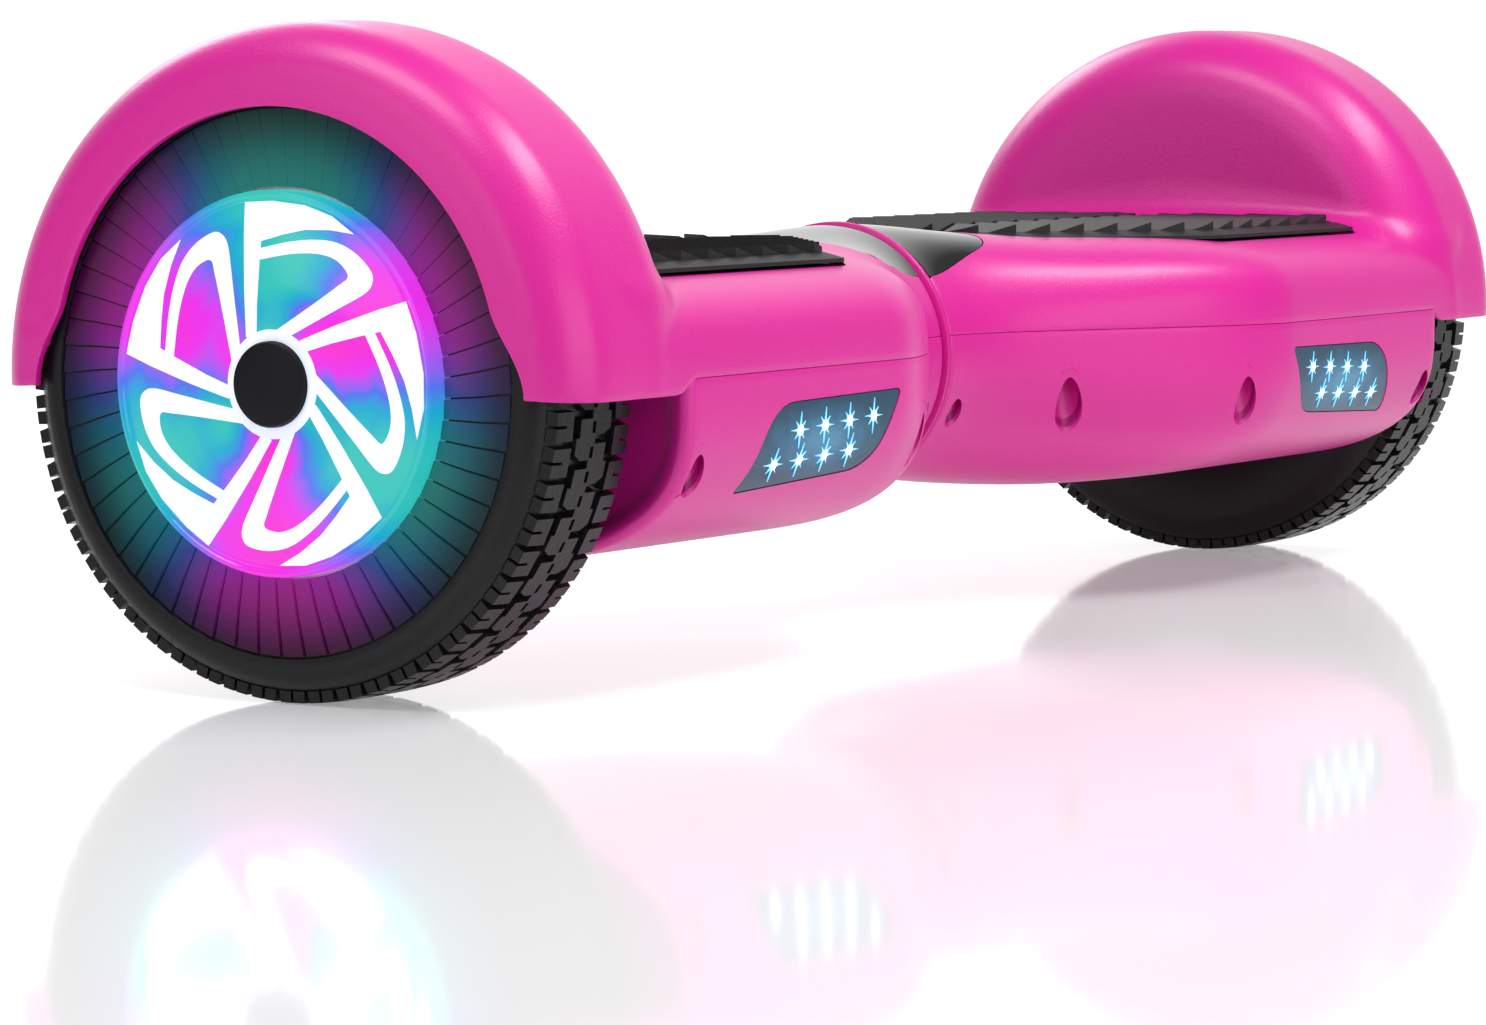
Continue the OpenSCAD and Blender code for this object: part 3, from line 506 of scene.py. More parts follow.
# %% [markdown]
# A shell is drawn as a flat grid and wrapped. Its rows go round the board from the split line
# over the top, or under the belly, and its columns follow a path out along X: up the end wall at
# the joint, along the body, up the mudguard's wall, over its shoulder and down to the opening.

# %% Paths along the skin
JOINT_X = 1.5
END_ROUND = 3.2
BODY_COLUMNS = 74
WALL_COLUMNS = 20
TOP_COLUMNS = 6
OUTER_COLUMNS = 14
TUBE_HOLE_R = 16.2
OPENING_R = 71.5

def at_angle(r, a):
    """The (y, z) of a radius and an angle round the split line's axis; angle 0 is the front."""
    return -r * math.cos(a), SPLIT_Z + r * math.sin(a)

def body_reach(x, a):
    """The body's radius at x, seen from the split line's axis."""
    r = 60.0
    for _ in range(7):
        r -= body_field(x, *at_angle(r, a))
    return r

def hole_reach(a, hole_z, radius):
    """Distance from the split line's axis to a round hole about another axis."""
    shift = hole_z - SPLIT_Z
    along = shift * math.sin(a)
    return along + math.sqrt(radius ** 2 - (shift * math.cos(a)) ** 2)

def joint_end(a):
    """The path up the end wall at the joint and round its corner."""
    rim = body_reach(JOINT_X + END_ROUND, a)
    hole = hole_reach(a, PIVOT_Z, TUBE_HOLE_R)
    wall = [(JOINT_X, hole + (rim - END_ROUND - hole) * k / 4) for k in range(4)]
    corner = [(JOINT_X + END_ROUND * (1 - math.cos(t)), rim - END_ROUND * (1 - math.sin(t)))
              for t in [math.pi / 2 * k / 5 for k in range(5)]]
    return wall + corner

def along_body(a, x_end):
    """Evenly spaced points along the body's skin."""
    x_start = JOINT_X + END_ROUND
    xs = [x_start + (x_end - x_start) * k / BODY_COLUMNS for k in range(BODY_COLUMNS)]
    return [(x, body_reach(x, a)) for x in xs]

def opening_radius(a):
    """The opening in the mudguard's outer face widens where the guard ends, low at each side."""
    above_end = math.degrees(min(a, math.pi - a))
    return OPENING_R + 7 * (1 - ease(above_end / 18)) + 11 * ease(-above_end / 2.4)

def shoulder_start(meet):
    """The angle on the mudguard's inner shoulder where a path leaves the body."""
    return math.asin(min(max((meet - SHOULDER_R) / SHOULDER_IN, 0), math.sin(math.radians(75))))

def over_guard(a):
    """Up the wall from the body, over the shoulders, and down to the opening."""
    meet = body_reach(GUARD_WALL_X, a)
    start = shoulder_start(meet)
    straight = max(SHOULDER_R - meet, 0)
    length = straight + SHOULDER_IN * (math.pi / 2 - start)
    path = []
    for k in range(WALL_COLUMNS):
        run = length * k / WALL_COLUMNS
        if run < straight:
            path.append((GUARD_WALL_X, meet + run))
            continue
        t = start + (run - straight) / SHOULDER_IN
        path.append((GUARD_WALL_X + SHOULDER_IN * (1 - math.cos(t)),
                     SHOULDER_R + SHOULDER_IN * math.sin(t)))
    flat_start, flat_end = GUARD_WALL_X + SHOULDER_IN, GUARD_X - SHOULDER_OUT
    path += [(flat_start + (flat_end - flat_start) * k / TOP_COLUMNS, GUARD_R)
             for k in range(TOP_COLUMNS)]
    edge = opening_radius(a)
    last = math.acos(min(max((edge - SHOULDER_R) / SHOULDER_IN, 0), 1))
    for k in range(OUTER_COLUMNS):
        t = last * k / (OUTER_COLUMNS - 2)
        if t <= last:
            path.append((GUARD_X - SHOULDER_OUT * (1 - math.sin(t)),
                         SHOULDER_R + SHOULDER_IN * math.cos(t)))
        else:
            path.append((GUARD_X - SHOULDER_OUT * (1 - math.sin(last)), edge - 0.8))
    return path

def upper_path(a):
    """Along the body, then over the mudguard that grows out of it."""
    start = shoulder_start(body_reach(GUARD_WALL_X, a))
    x_meet = GUARD_WALL_X + SHOULDER_IN * (1 - math.cos(start))
    return joint_end(a) + along_body(a, x_meet) + over_guard(a)

def lower_path(a):
    """Along the body to the rim beside the wheel, round it, and back to a wall inside."""
    corner = 3.4
    rim = body_reach(RIM_X - corner, a)
    path = joint_end(a) + along_body(a, RIM_X - corner)
    path += [(RIM_X - corner * (1 - math.sin(t)), rim - corner * (1 - math.cos(t)))
             for t in [math.pi / 2 * k / 6 for k in range(7)]]
    inner = hole_reach(a, AXLE_Z, 15)
    path += [(RIM_X - 0.6, rim - 5.4), (RIM_X - 3, rim - 8)]
    path += [(RIM_X - 4.4, rim - 11 - (rim - 11 - inner) * k / 5) for k in range(6)]
    return path

def settle(x, r, a):
    """Move a point of a path onto the filleted skin, within its own plane."""
    for _ in range(3):
        value = skin_field(x, *at_angle(r, a))
        dx = skin_field(x + 0.2, *at_angle(r, a)) - value
        dr = skin_field(x, *at_angle(r + 0.2, a)) - value
        steep = (dx * dx + dr * dr) / 0.04
        if steep < 1e-6:
            break
        x -= value * dx / 0.2 / steep
        r -= value * dr / 0.2 / steep
    return x, r

# %% [markdown]
# `create_grid` gives the flat sheet and every vertex is sent to its place on the skin. Below the
# split line the mudguard hangs a few millimetres lower over the tyre, so the rows fan out there.
# Solidify gives the sheet the wall of a moulded shell, and a bevel breaks its sharp rims.

# %% Wrap the shells
WALL = 2.6
ROWS = 132
HANG = 4.0

def face_outwards(bm, probe):
    """Turn a sheet's faces away from the split line's axis, judged by one of them."""
    centre = probe.calc_center_median()
    if probe.normal.dot(centre - Vector((centre.x, 0, SPLIT_Z * MM))) < 0:
        bmesh.ops.reverse_faces(bm, faces=bm.faces)

def wrapped_sheet(path_at, below):
    """A grid wrapped round one half body, above or below the split line."""
    columns = len(path_at(math.pi / 2))
    bm = bmesh.new()
    bmesh.ops.create_grid(bm, x_segments=columns - 1, y_segments=ROWS - 1, size=1)
    paths = {}
    for vert in bm.verts:
        i = round((vert.co.x + 1) / 2 * (columns - 1))
        j = round((vert.co.y + 1) / 2 * (ROWS - 1))
        turn = math.pi * j / (ROWS - 1)
        if j not in paths:
            paths[j] = path_at(-turn if below else turn)
        x, r = paths[j][i]
        a = -turn if below else turn
        if not below:
            fan = math.atan2(HANG, GUARD_R) * ease((x - GUARD_WALL_X - 3) / 9)
            a = turn * (math.pi + 2 * fan) / math.pi - fan
            if 60 < x < GUARD_X - 1 and i < columns - 3:
                x, r = settle(x, r, a)
        y, z = at_angle(r, a)
        vert.co = Vector((x, y, z)) * MM
    bmesh.ops.recalc_face_normals(bm, faces=bm.faces)
    def height_near_joint(face):
        centre = face.calc_center_median()
        return abs(centre.z - SPLIT_Z * MM) - centre.x
    face_outwards(bm, max(bm.faces, key=height_near_joint))
    return bm

def give_wall(thing, wall, rim_bevel):
    """Thickness towards the inside, then softened rims."""
    thicken(thing, wall)
    bm = bmesh.new()
    bm.from_mesh(thing.data)
    sharp = [e for e in bm.edges if e.is_manifold and e.calc_face_angle() > math.radians(50)]
    bmesh.ops.bevel(bm, geom=sharp, offset=rim_bevel * MM, segments=2, profile=0.5,
                    affect="EDGES", material=-1)
    bm.to_mesh(thing.data)
    bm.free()

# %% [markdown]
# ## Openings in the shells
# The mat drops into a shallow tray, and the indicator panel and the headlight sit in openings with
# a hair's gap round them. The screws stand at the top of round wells. Some of these are upright,
# under the belly. Others lean, and break through the body's side as drops. Boolean tools cut all
# of these, as a cutter would, so the smooth skin round them stays as it is.

# %% Outlines that cut and fill the shells
MAT_OUTLINE = [(52, 16), (64, 30), (118, 72), (222, 72), (222, -72), (118, -72), (64, -30), (52, -16)]
MAT_CORNER = 7
RIDGE_TOP = MAT_TOP - 1.5
MAT_FIT = 0.4
MAT_FLOOR_Z = 109.5
PEG_SITES = [(x, y) for x in (112, 168) for y in (-34, 34)]
PEG_R = 4
PANEL_OUTLINE = [(3.2, 31), (46, 31), (46, -31), (3.2, -31)]
PANEL_GAP = 0.3
LAMP_Z = (54.0, 76.0)
LAMP_GAP = 0.3
LAMP_OUTLINE = [(125.5, 77), (193, 76), (204, 53), (138, 56)]
SCREW_SITES = [(62, 40), (105, 64), (214, 68)]
WELL_R = 4.8
WELL_TOP = 58.0
DROPS = [(10, 65.5, 3.1), (50, 68.5, 4.6), (105, 68, 4.2), (229, 65, 3.8)]
DROP_LEAN = math.radians(12)
WELL_DEPTH = 50
WELL_WALL = 1.2
PORT_X, BUTTON_X, CONTROL_Z, CONTROL_R = 150, 184, 62, 12.3
HINGE_NOTCH = [(PORT_X - 8.3, 66), (PORT_X + 8.3, 66), (PORT_X + 8.3, 76.8), (PORT_X - 8.3, 76.8)]
OVER_TOP = (92, 140)
PAST_FRONT = (-130, -70)
PAST_BACK = (70, 120)
ARC_POINTS = 7

def lamp_outline(more):
    """Two opposite corners of the headlight are round and two are nearly sharp."""
    sharp, soft = 1.2, 17.0
    corners = grown(LAMP_OUTLINE, more)
    result = []
    for i, radius in enumerate((sharp, soft, sharp, soft)):
        result += rounded(corners, radius)[i * ARC_POINTS:(i + 1) * ARC_POINTS]
    return result

def panel_outline(more):
    """The indicator panel: square at the joint, round at its other two corners."""
    corners = grown(PANEL_OUTLINE, more)
    arcs = rounded(corners, 13)
    return [corners[0]] + arcs[ARC_POINTS:3 * ARC_POINTS] + [corners[3]]

def round_bar(bm, place, radius, length, segments=32):
    """A bar in millimetres along the Z of its place, half of it to each side."""
    bmesh.ops.create_cone(bm, cap_ends=True, segments=segments, radius1=radius * MM,
                          radius2=radius * MM, depth=length * MM, matrix=place)

def upright(bm, x, y, low, high, radius, segments=32):
    """A vertical round bar in millimetres."""
    place = Matrix.Translation(Vector((x, y, (low + high) / 2)) * MM)
    round_bar(bm, place, radius, high - low, segments)

def crosswise(bm, x, y0, y1, z, radius):
    """A round bar along Y in millimetres."""
    middle = Matrix.Translation(Vector((x, (y0 + y1) / 2, z)) * MM)
    round_bar(bm, middle @ Matrix.Rotation(math.pi / 2, 4, "X"), radius, y1 - y0, 48)

def front_at(x, z):
    """The body's front surface at a height: y in millimetres."""
    y = -HALF_DEPTH
    for _ in range(8):
        y += body_field(x, y, z)
    return y

def skin_normal(x, y, z):
    """The direction straight out of the body's skin."""
    here = body_field(x, y, z)
    return Vector((body_field(x + 0.5, y, z) - here, body_field(x, y + 0.5, z) - here,
                   body_field(x, y, z + 0.5) - here)).normalized()

# %% Add wells and plates to a shell
def add_island(thing, bm):
    """Put a separate closed form into a piece's mesh."""
    extra = bpy.data.meshes.new("extra")
    bm.to_mesh(extra)
    bm.free()
    joined = bmesh.new()
    joined.from_mesh(thing.data)
    joined.from_mesh(extra)
    joined.to_mesh(thing.data)
    joined.free()
    bpy.data.meshes.remove(extra)

def well_places():
    """A matrix and a radius for every well under one half. Z runs up the well's axis."""
    found = []
    for x, y in SCREW_SITES:
        found.append((Matrix.Translation(Vector((x, y, WELL_TOP)) * MM), WELL_R))
    for x, apex, radius in DROPS:
        for front in (1, -1):
            corner = Matrix.Translation(Vector((x, front_at(x, apex) * front, apex)) * MM)
            lean = Matrix.Rotation(-DROP_LEAN * front, 4, "X")
            inwards = Matrix.Translation(Vector((0, radius * front, 6)) * MM)
            found.append((corner @ lean @ inwards, radius))
    return found

def add_well_bar(bm, place, radius):
    """The round bar that bores one well, from its end wall down and out of the shell."""
    down = Matrix.Translation((0, 0, -WELL_DEPTH / 2 * MM))
    round_bar(bm, place @ down, radius, WELL_DEPTH)

def well_tube(place, radius):
    """The moulded tube round a well. Each edge of it ends just inside the skin."""
    bm = bmesh.new()
    add_well_bar(bm, place, radius)
    back = place.inverted()
    up = (place.to_3x3() @ Vector((0, 0, 1))).normalized()
    mouth = min(bm.faces, key=lambda f: (back @ f.calc_center_median()).z)
    rim = mouth.verts[:]
    bmesh.ops.delete(bm, geom=[mouth], context="FACES_ONLY")
    for vert in rim:
        low, high = 0.0, WELL_DEPTH - 1.0
        for _ in range(14):
            half = (low + high) / 2
            inside = body_field(*((vert.co + up * half * MM) / MM)) < -1.0
            low, high = (low, half) if inside else (half, high)
        vert.co += up * high * MM
    tube = make_object("well", bm)
    thicken(tube, WELL_WALL, 1)
    return taken_mesh(tube)

print(len(well_places()), "wells in each lower shell")

# %% Build the four shells
def make_upper_shell(side):
    """The skin with its openings, and the tray that the mat lies in."""
    shell = make_object(f"shell_upper_{side}", wrapped_sheet(upper_path, False))
    give_wall(shell, WALL, 0.5)
    bm = bmesh.new()
    prism(bm, rounded(grown(MAT_OUTLINE, MAT_FIT), MAT_CORNER), MAT_FLOOR_Z, OVER_TOP[1])
    prism(bm, panel_outline(PANEL_GAP), *OVER_TOP)
    carve(shell, bm)
    bm = bmesh.new()
    prism(bm, rounded(grown(MAT_OUTLINE, MAT_FIT + 1.5), MAT_CORNER), MAT_FLOOR_Z - 2.5, MAT_FLOOR_Z)
    tray = make_object("tray", bm)
    holes = bmesh.new()
    for x, y in PEG_SITES:
        upright(holes, x, y, 100, 120, PEG_R + 1)
    carve(tray, holes)
    add_island(shell, taken_mesh(tray))
    return shell

def make_lower_shell(side):
    """The skin with the headlight's opening and the screws' wells. The right one has the
    openings for the charging port and the button, cut one after the other."""
    shell = make_object(f"shell_lower_{side}", wrapped_sheet(lower_path, True))
    give_wall(shell, WALL, 0.5)
    bm = bmesh.new()
    prism(bm, lamp_outline(LAMP_GAP), *PAST_FRONT, "XZ")
    for place, radius in well_places():
        add_well_bar(bm, place, radius)
    carve(shell, bm)
    if side == "right":
        bm = bmesh.new()
        for x in (PORT_X, BUTTON_X):
            crosswise(bm, x, *PAST_BACK, CONTROL_Z, CONTROL_R)
        carve(shell, bm)
        bm = bmesh.new()
        prism(bm, HINGE_NOTCH, *PAST_BACK, "XZ")
        carve(shell, bm)
    for place, radius in well_places():
        add_island(shell, well_tube(place, radius))
    return shell

for side in SIDES:
    for kind, make in (("upper", make_upper_shell), ("lower", make_lower_shell)):
        shell = mirrored_for(make(side), side)
        finish_piece(shell, f"{side}_half", SHELL, [f"{kind}_shell_{side}"])
        print(shell.name, len(shell.data.polygons), "faces")

# %% [markdown]
# ## Lamps and panels
# The headlight lens and the indicator panel carry on the body's own curve. Each is a sheet
# wrapped like the shells, sunk a fraction of a millimetre, and kept only inside its outline.

# %% Pieces of the skin
def skin_piece(name, x_range, turn_range, sunk, wall, outline_bm):
    """Part of the body's skin inside an outline, sunk below it."""
    bm = bmesh.new()
    bmesh.ops.create_grid(bm, x_segments=48, y_segments=48, size=1)
    for vert in bm.verts:
        x = x_range[0] + (x_range[1] - x_range[0]) * (vert.co.x + 1) / 2
        a = math.radians(turn_range[0] + (turn_range[1] - turn_range[0]) * (vert.co.y + 1) / 2)
        y, z = at_angle(body_reach(x, a) - sunk, a)
        vert.co = Vector((x, y, z)) * MM
    bmesh.ops.recalc_face_normals(bm, faces=bm.faces)
    face_outwards(bm, bm.faces[:][len(bm.faces) // 2])
    piece = make_object(name, bm)
    thicken(piece, wall)
    carve(piece, outline_bm, "INTERSECT")
    return piece

for side in SIDES:
    outline = bmesh.new()
    prism(outline, panel_outline(0), *OVER_TOP)
    panel = skin_piece(f"indicator_{side}", (2.4, 60), (20, 160), 0.15, 2.0, outline)
    finish_piece(mirrored_for(panel, side), f"{side}_half", BLACK_GLOSS,
                 [f"indicator_panel_{side}"])
    outline = bmesh.new()
    prism(outline, lamp_outline(0), *PAST_FRONT, "XZ")
    lens = skin_piece(f"headlight_{side}", (122, 210), (0, -40), 0.25, 2.0, outline)
    finish_piece(mirrored_for(lens, side), f"{side}_half", LENS,
                 [f"headlight_lens_{side}"])
    print(panel.name, len(panel.data.polygons), lens.name, len(lens.data.polygons), "faces")

# %% [markdown]
# Eight small lamps shine through each lens. Each shows as a white bead over a star of blue rays,
# which is how a bright point looks through moulded plastic. The star is a circle whose points are
# drawn in by turns, and it stands a hair above the lens.

# %% Stars on the lens
STAR_MIDDLE = ((LAMP_OUTLINE[0][0] + LAMP_OUTLINE[2][0]) / 2, sum(LAMP_Z) / 2)
STAR_STEP = 13.0
STAR_LEAN = 5.2
STAR_RISE = 4.2
STAR_SLOPE = 0.045
STAR_REACH = 5.0
STAR_POINTS = 8
BEAD_R = 1.5

def on_skin(point, normal):
    """The place of a form that stands on the skin, with its Z straight out of it."""
    return Matrix.Translation(point * MM) @ normal.to_track_quat("Z", "Y").to_matrix().to_4x4()

def add_star(bm, place, thick=0.25):
    """A flat star with long and short rays."""
    made = bmesh.ops.create_circle(bm, cap_ends=True, segments=STAR_POINTS * 2,
                                   radius=STAR_REACH * MM)
    for k, vert in enumerate(made["verts"]):
        if k % 2:
            vert.co *= 0.2
        elif k % 4:
            vert.co *= 0.68
    top = drawn_out(bm, [made["verts"][0].link_faces[0]])
    bmesh.ops.translate(bm, vec=(0, 0, thick * MM), verts=top)
    bmesh.ops.transform(bm, matrix=place, verts=made["verts"] + top)

for side in SIDES:
    rays, beads = bmesh.new(), bmesh.new()
    for row in (-1, 1):
        for i in range(4):
            x = STAR_MIDDLE[0] + STAR_STEP * (i - 1.5) - STAR_LEAN * row
            z = STAR_MIDDLE[1] + STAR_RISE * row + STAR_SLOPE * (STAR_MIDDLE[0] - x)
            point = Vector((x, front_at(x, z), z))
            normal = skin_normal(*point)
            add_star(rays, on_skin(point - normal * 0.3, normal))
            flat = on_skin(point, normal) @ Matrix.Diagonal((1, 1, 0.25, 1))
            bmesh.ops.create_uvsphere(beads, u_segments=12, v_segments=8, radius=BEAD_R * MM,
                                      matrix=flat)
    for name, bm, finish in (("headlight_rays", rays, RAY_LIGHT),
                             ("headlight_beads", beads, WHITE_LIGHT)):
        bmesh.ops.recalc_face_normals(bm, faces=bm.faces)
        to_side(bm, side)
        finish_piece(make_object(f"{name}_{side}", bm), f"{side}_half", finish)

# %% [markdown]
# The ring between the halves has two rolled edges with a groove between them. Its profile is
# spun about the pivot.

# %% Ring at the joint
RING_PROFILE = [(1.2, 36), (1.2, 38.9), (0.9, 39.7), (0.35, 40.0), (-0.1, 39.3), (-0.55, 40.0),
                (-1.15, 39.8), (-1.45, 38.9), (-1.45, 36)]
bm = bmesh.new()
spin_x(bm, RING_PROFILE, PIVOT_Z, 128)
finish_piece(make_object("joint_ring", bm), "left_half", SHELL, ["joint_trim_ring"],
             smooth_deg=50)

# %% [markdown]
# ## Wheels
# The tyre is a spun body with moulded blocks standing on it. The shoulder blocks have a short
# sipe in every second gap, and the middle rows interlock like puzzle pieces. One block is drawn
# flat, then copied round the axle and bent onto the tyre by its own angle.

# %% Tyre body
BASE_R = TYRE_R - 2.3
HALF_TYRE = TYRE_W / 2
FACE_X = 19.5
VANE_R = (DISC_R + 0.9, 71.2)
TYRE_PROFILE = [(-18, 53), (-20.2, 55), (-HALF_TYRE, 60), (-HALF_TYRE, 72), (-20.2, 77), (-18.2, 80),
                (-15, BASE_R - 0.4), (-11, BASE_R), (11, BASE_R), (15, BASE_R - 0.4), (18.4, 79.6),
                (20.3, 76.6), (20.9, 73.6), (20.6, 71.9), (FACE_X, 71.4), (FACE_X, 52.6), (17.5, 52.6)]

def wheel_turns(bm, count, block_bm):
    """Copies of a small form round the axle."""
    block = bpy.data.meshes.new("block")
    block_bm.to_mesh(block)
    block_bm.free()
    centre = Vector((0, 0, AXLE_Z * MM))
    for k in range(count):
        before = set(bm.verts)
        bm.from_mesh(block)
        fresh = [v for v in bm.verts if v not in before]
        turn = Matrix.Rotation(math.tau * k / count, 3, "X")
        bmesh.ops.rotate(bm, cent=centre, matrix=turn, verts=fresh)
    bpy.data.meshes.remove(block)

def tread_block(outline, low, high, taper=0.9):
    """A block from an outline of (run, x), where run goes round the tyre in millimetres. The
    tread falls away a little towards the tyre's shoulders."""
    bm = bmesh.new()
    face = bm.faces.new([bm.verts.new((x, run, 0)) for run, x in outline])
    top = drawn_out(bm, [face])
    middle = sum((v.co for v in top), Vector()) / len(top)
    for vert in top:
        vert.co = middle + (vert.co - middle) * taper
        vert.co.z = 1
    for vert in bm.verts:
        x, run, up = vert.co
        r = low + (high - low) * up - 0.0135 * max(abs(x) - 9, 0) ** 1.6
        turn = run / TYRE_R
        vert.co = Vector((WHEEL_X + x, -r * math.sin(turn), AXLE_Z + r * math.cos(turn))) * MM
    bmesh.ops.recalc_face_normals(bm, faces=bm.faces)
    return bm

# %% Tread blocks
SHOULDER_COUNT = 56
MIDDLE_COUNT = 40
SHOULDER_RUN = math.pi * TYRE_R / SHOULDER_COUNT - 0.5
SHOULDER_BLOCK = [(-SHOULDER_RUN, 9.2), (SHOULDER_RUN, 9.2), (SHOULDER_RUN, 17.2), (0.45, 17.2),
                  (0.45, 12.6), (-0.45, 12.6), (-0.45, 17.2), (-SHOULDER_RUN, 17.2)]
MIDDLE_RUN = math.pi * TYRE_R / MIDDLE_COUNT - 0.55
PUZZLE_SHAPE = [(-1, 0.5), (-0.3, 0.5), (-0.3, -1.4), (0.35, -1.4), (0.35, 0.5), (1, 0.5), (1, 5.0),
                (0.7, 8.2), (-0.1, 8.2), (-0.1, 6.6), (-1, 6.6)]
PUZZLE_BLOCK = [(part * MIDDLE_RUN, x) for part, x in PUZZLE_SHAPE]

for side in SIDES:
    bm = bmesh.new()
    spin_x(bm, [(WHEEL_X + x, r) for x, r in TYRE_PROFILE], AXLE_Z, 144)
    for mirror in (1, -1):
        shift = 0.5 * (1 - mirror) / 2
        for count, outline in ((SHOULDER_COUNT, SHOULDER_BLOCK), (MIDDLE_COUNT, PUZZLE_BLOCK)):
            pitch = math.tau * TYRE_R / count
            moved = [(along + pitch * shift, x * mirror) for along, x in outline]
            wheel_turns(bm, count, tread_block(moved, BASE_R - 0.8, TYRE_R))
    to_side(bm, side)
    tyre = finish_piece(make_object(f"tyre_tread_{side}", bm), f"{side}_wheel", TYRE_RUBBER,
                        [f"tyre_{side}"])
    print(tyre.name, len(tyre.data.polygons), "faces")

# %% [markdown]
# The ring of the tyre's face round the disc is moulded into sixty narrow vanes. Each leans a
# little, so that one edge of it catches the light. The disc's coloured light that spills over them is
# painted on them as a faint glow.

# %% Sidewall vanes
VANES = 60
VANE_SKEW = math.radians(2.2)
VANE_GAP = 0.26 / 60

def vane():
    """One vane: a wedge between two radii, with one edge higher than the other."""
    bm = bmesh.new()
    half = math.pi / VANES - VANE_GAP
    inner, outer = VANE_R
    bend = [(inner, 0), ((inner + outer) / 2, VANE_SKEW * 0.5), (outer, VANE_SKEW)]
    ring = [(r, skew - half) for r, skew in bend] + [(r, skew + half) for r, skew in bend[::-1]]
    high_edge = [0.35, 0.45, 0.3, 0.8, 1.0, 0.7]
    def at(r, t, x):
        return Vector((WHEEL_X + x, r * math.sin(t), AXLE_Z + r * math.cos(t))) * MM
    face = bm.faces.new([bm.verts.new(at(r, t, FACE_X - 0.4)) for r, t in ring])
    for vert in drawn_out(bm, [face]):
        nearest = min(range(6), key=lambda k: (vert.co - at(*ring[k], FACE_X - 0.4)).length)
        vert.co = at(*ring[nearest], FACE_X + high_edge[nearest])
    bmesh.ops.recalc_face_normals(bm, faces=bm.faces)
    return bm

for side in SIDES:
    bm = bmesh.new()
    wheel_turns(bm, VANES, vane())
    to_side(bm, side)
    # The vanes' colour is painted light spilled from the disc.
    finish_piece(make_object(f"sidewall_vanes_{side}", bm), f"{side}_wheel", SIDE_SPILL_PAINT,
                 smooth_deg=15)
print(VANES, "vanes between radius", *VANE_R)

# %% [markdown]
# ## Lit discs
# The disc is one spun form with a rounded clear rim. A fan of five blades is printed on it in
# white: each blade has a thin spoke, a curved fin at the rim and a rounded loop beside it.

# %% Disc, rim and cap
DISC_FACE = DISC_X - WHEEL_X - 0.9
DISC_BACK = 18.2

def spun_piece(name, side, profile, finish, stands_for=(), steps=128, smooth_deg=40):
    """A piece of a wheel, turned from a profile of (x from the wheel's middle, radius)."""
    bm = bmesh.new()
    spin_x(bm, [(WHEEL_X + x, r) for x, r in profile], AXLE_Z, steps)
    to_side(bm, side)
    return finish_piece(make_object(name, bm), f"{side}_wheel", finish, stands_for, smooth_deg)

DISC_PROFILE = [(DISC_BACK, CAP_R), (DISC_FACE - 0.3, CAP_R), (DISC_FACE, CAP_R + 2), (DISC_FACE, 46.8),
                (DISC_FACE - 0.5, 47.6), (DISC_FACE - 0.4, 48.1), (DISC_FACE + 0.5, 48.5),
                (DISC_FACE + 0.85, 49.1), (DISC_FACE + 0.6, DISC_R - 0.3), (DISC_FACE - 0.2, DISC_R),
                (DISC_BACK, DISC_R), (DISC_BACK, 49)]
CAP_PROFILE = [(DISC_BACK, 0), (DISC_BACK, CAP_R - 0.2), (DISC_FACE + 1.6, CAP_R - 0.2),
               (DISC_FACE + 2.3, CAP_R - 0.6), (DISC_FACE + 2.6, CAP_R - 1.6),
               (DISC_FACE + 2.7, 4), (DISC_FACE + 2.7, 0)]

# %% The printed fan
BLADES = 5
PRINT_BACK = DISC_FACE - 0.05
PRINT_THICK = 0.16
RING_R = 14.2
FIN = [(-8.2, 12.0), (-8.6, 24), (-8.5, 38), (-8.0, 47.0), (0.7, 47.4), (11, 46.3), (19.4, 43.6),
       (26.3, 39.0), (18.7, 40.0), (11, 40.0), (4.2, 38.8), (-3.0, 37.0), (-3.7, 31.0), (-4.6, 21),
       (-4.9, 12.4)]
LOOP_OUTER = [(-4.5, 34.9), (5.9, 36.9), (14.4, 37.5), (21.3, 36.7), (27.2, 33.8), (31.6, 29.4),
              (31.7, 26.2), (29.3, 23.8), (22.9, 20.7), (14.4, 16.7), (5.9, 12.6)]
LOOP_INNER = [(0.9, 13.7), (12.7, 20.6), (21.2, 25.8), (24.2, 27.9), (23.2, 30.2), (20.0, 32.6),
              (14.4, 33.9), (5.9, 33.7), (-4.4, 32.0)]

def print_form(bm, outline):
    """A thin printed patch from an outline of (forward, up) round the axle, on the disc's face."""
    verts = [bm.verts.new(Vector((WHEEL_X + PRINT_BACK, -a, AXLE_Z + b)) * MM) for a, b in outline]
    edges = [bm.edges.new(pair) for pair in zip(verts, verts[1:] + verts[:1])]
    made = bmesh.ops.triangle_fill(bm, use_beauty=True, use_dissolve=True, normal=(1, 0, 0), edges=edges)
    faces = [g for g in made["geom"] if isinstance(g, bmesh.types.BMFace)]
    bmesh.ops.translate(bm, vec=(PRINT_THICK * MM, 0, 0), verts=drawn_out(bm, faces))

def one_blade():
    """A fin and the rounded loop beside it."""
    bm = bmesh.new()
    print_form(bm, FIN)
    print_form(bm, smooth_line(LOOP_OUTER) + smooth_line(LOOP_INNER))
    bmesh.ops.recalc_face_normals(bm, faces=bm.faces)
    return bm

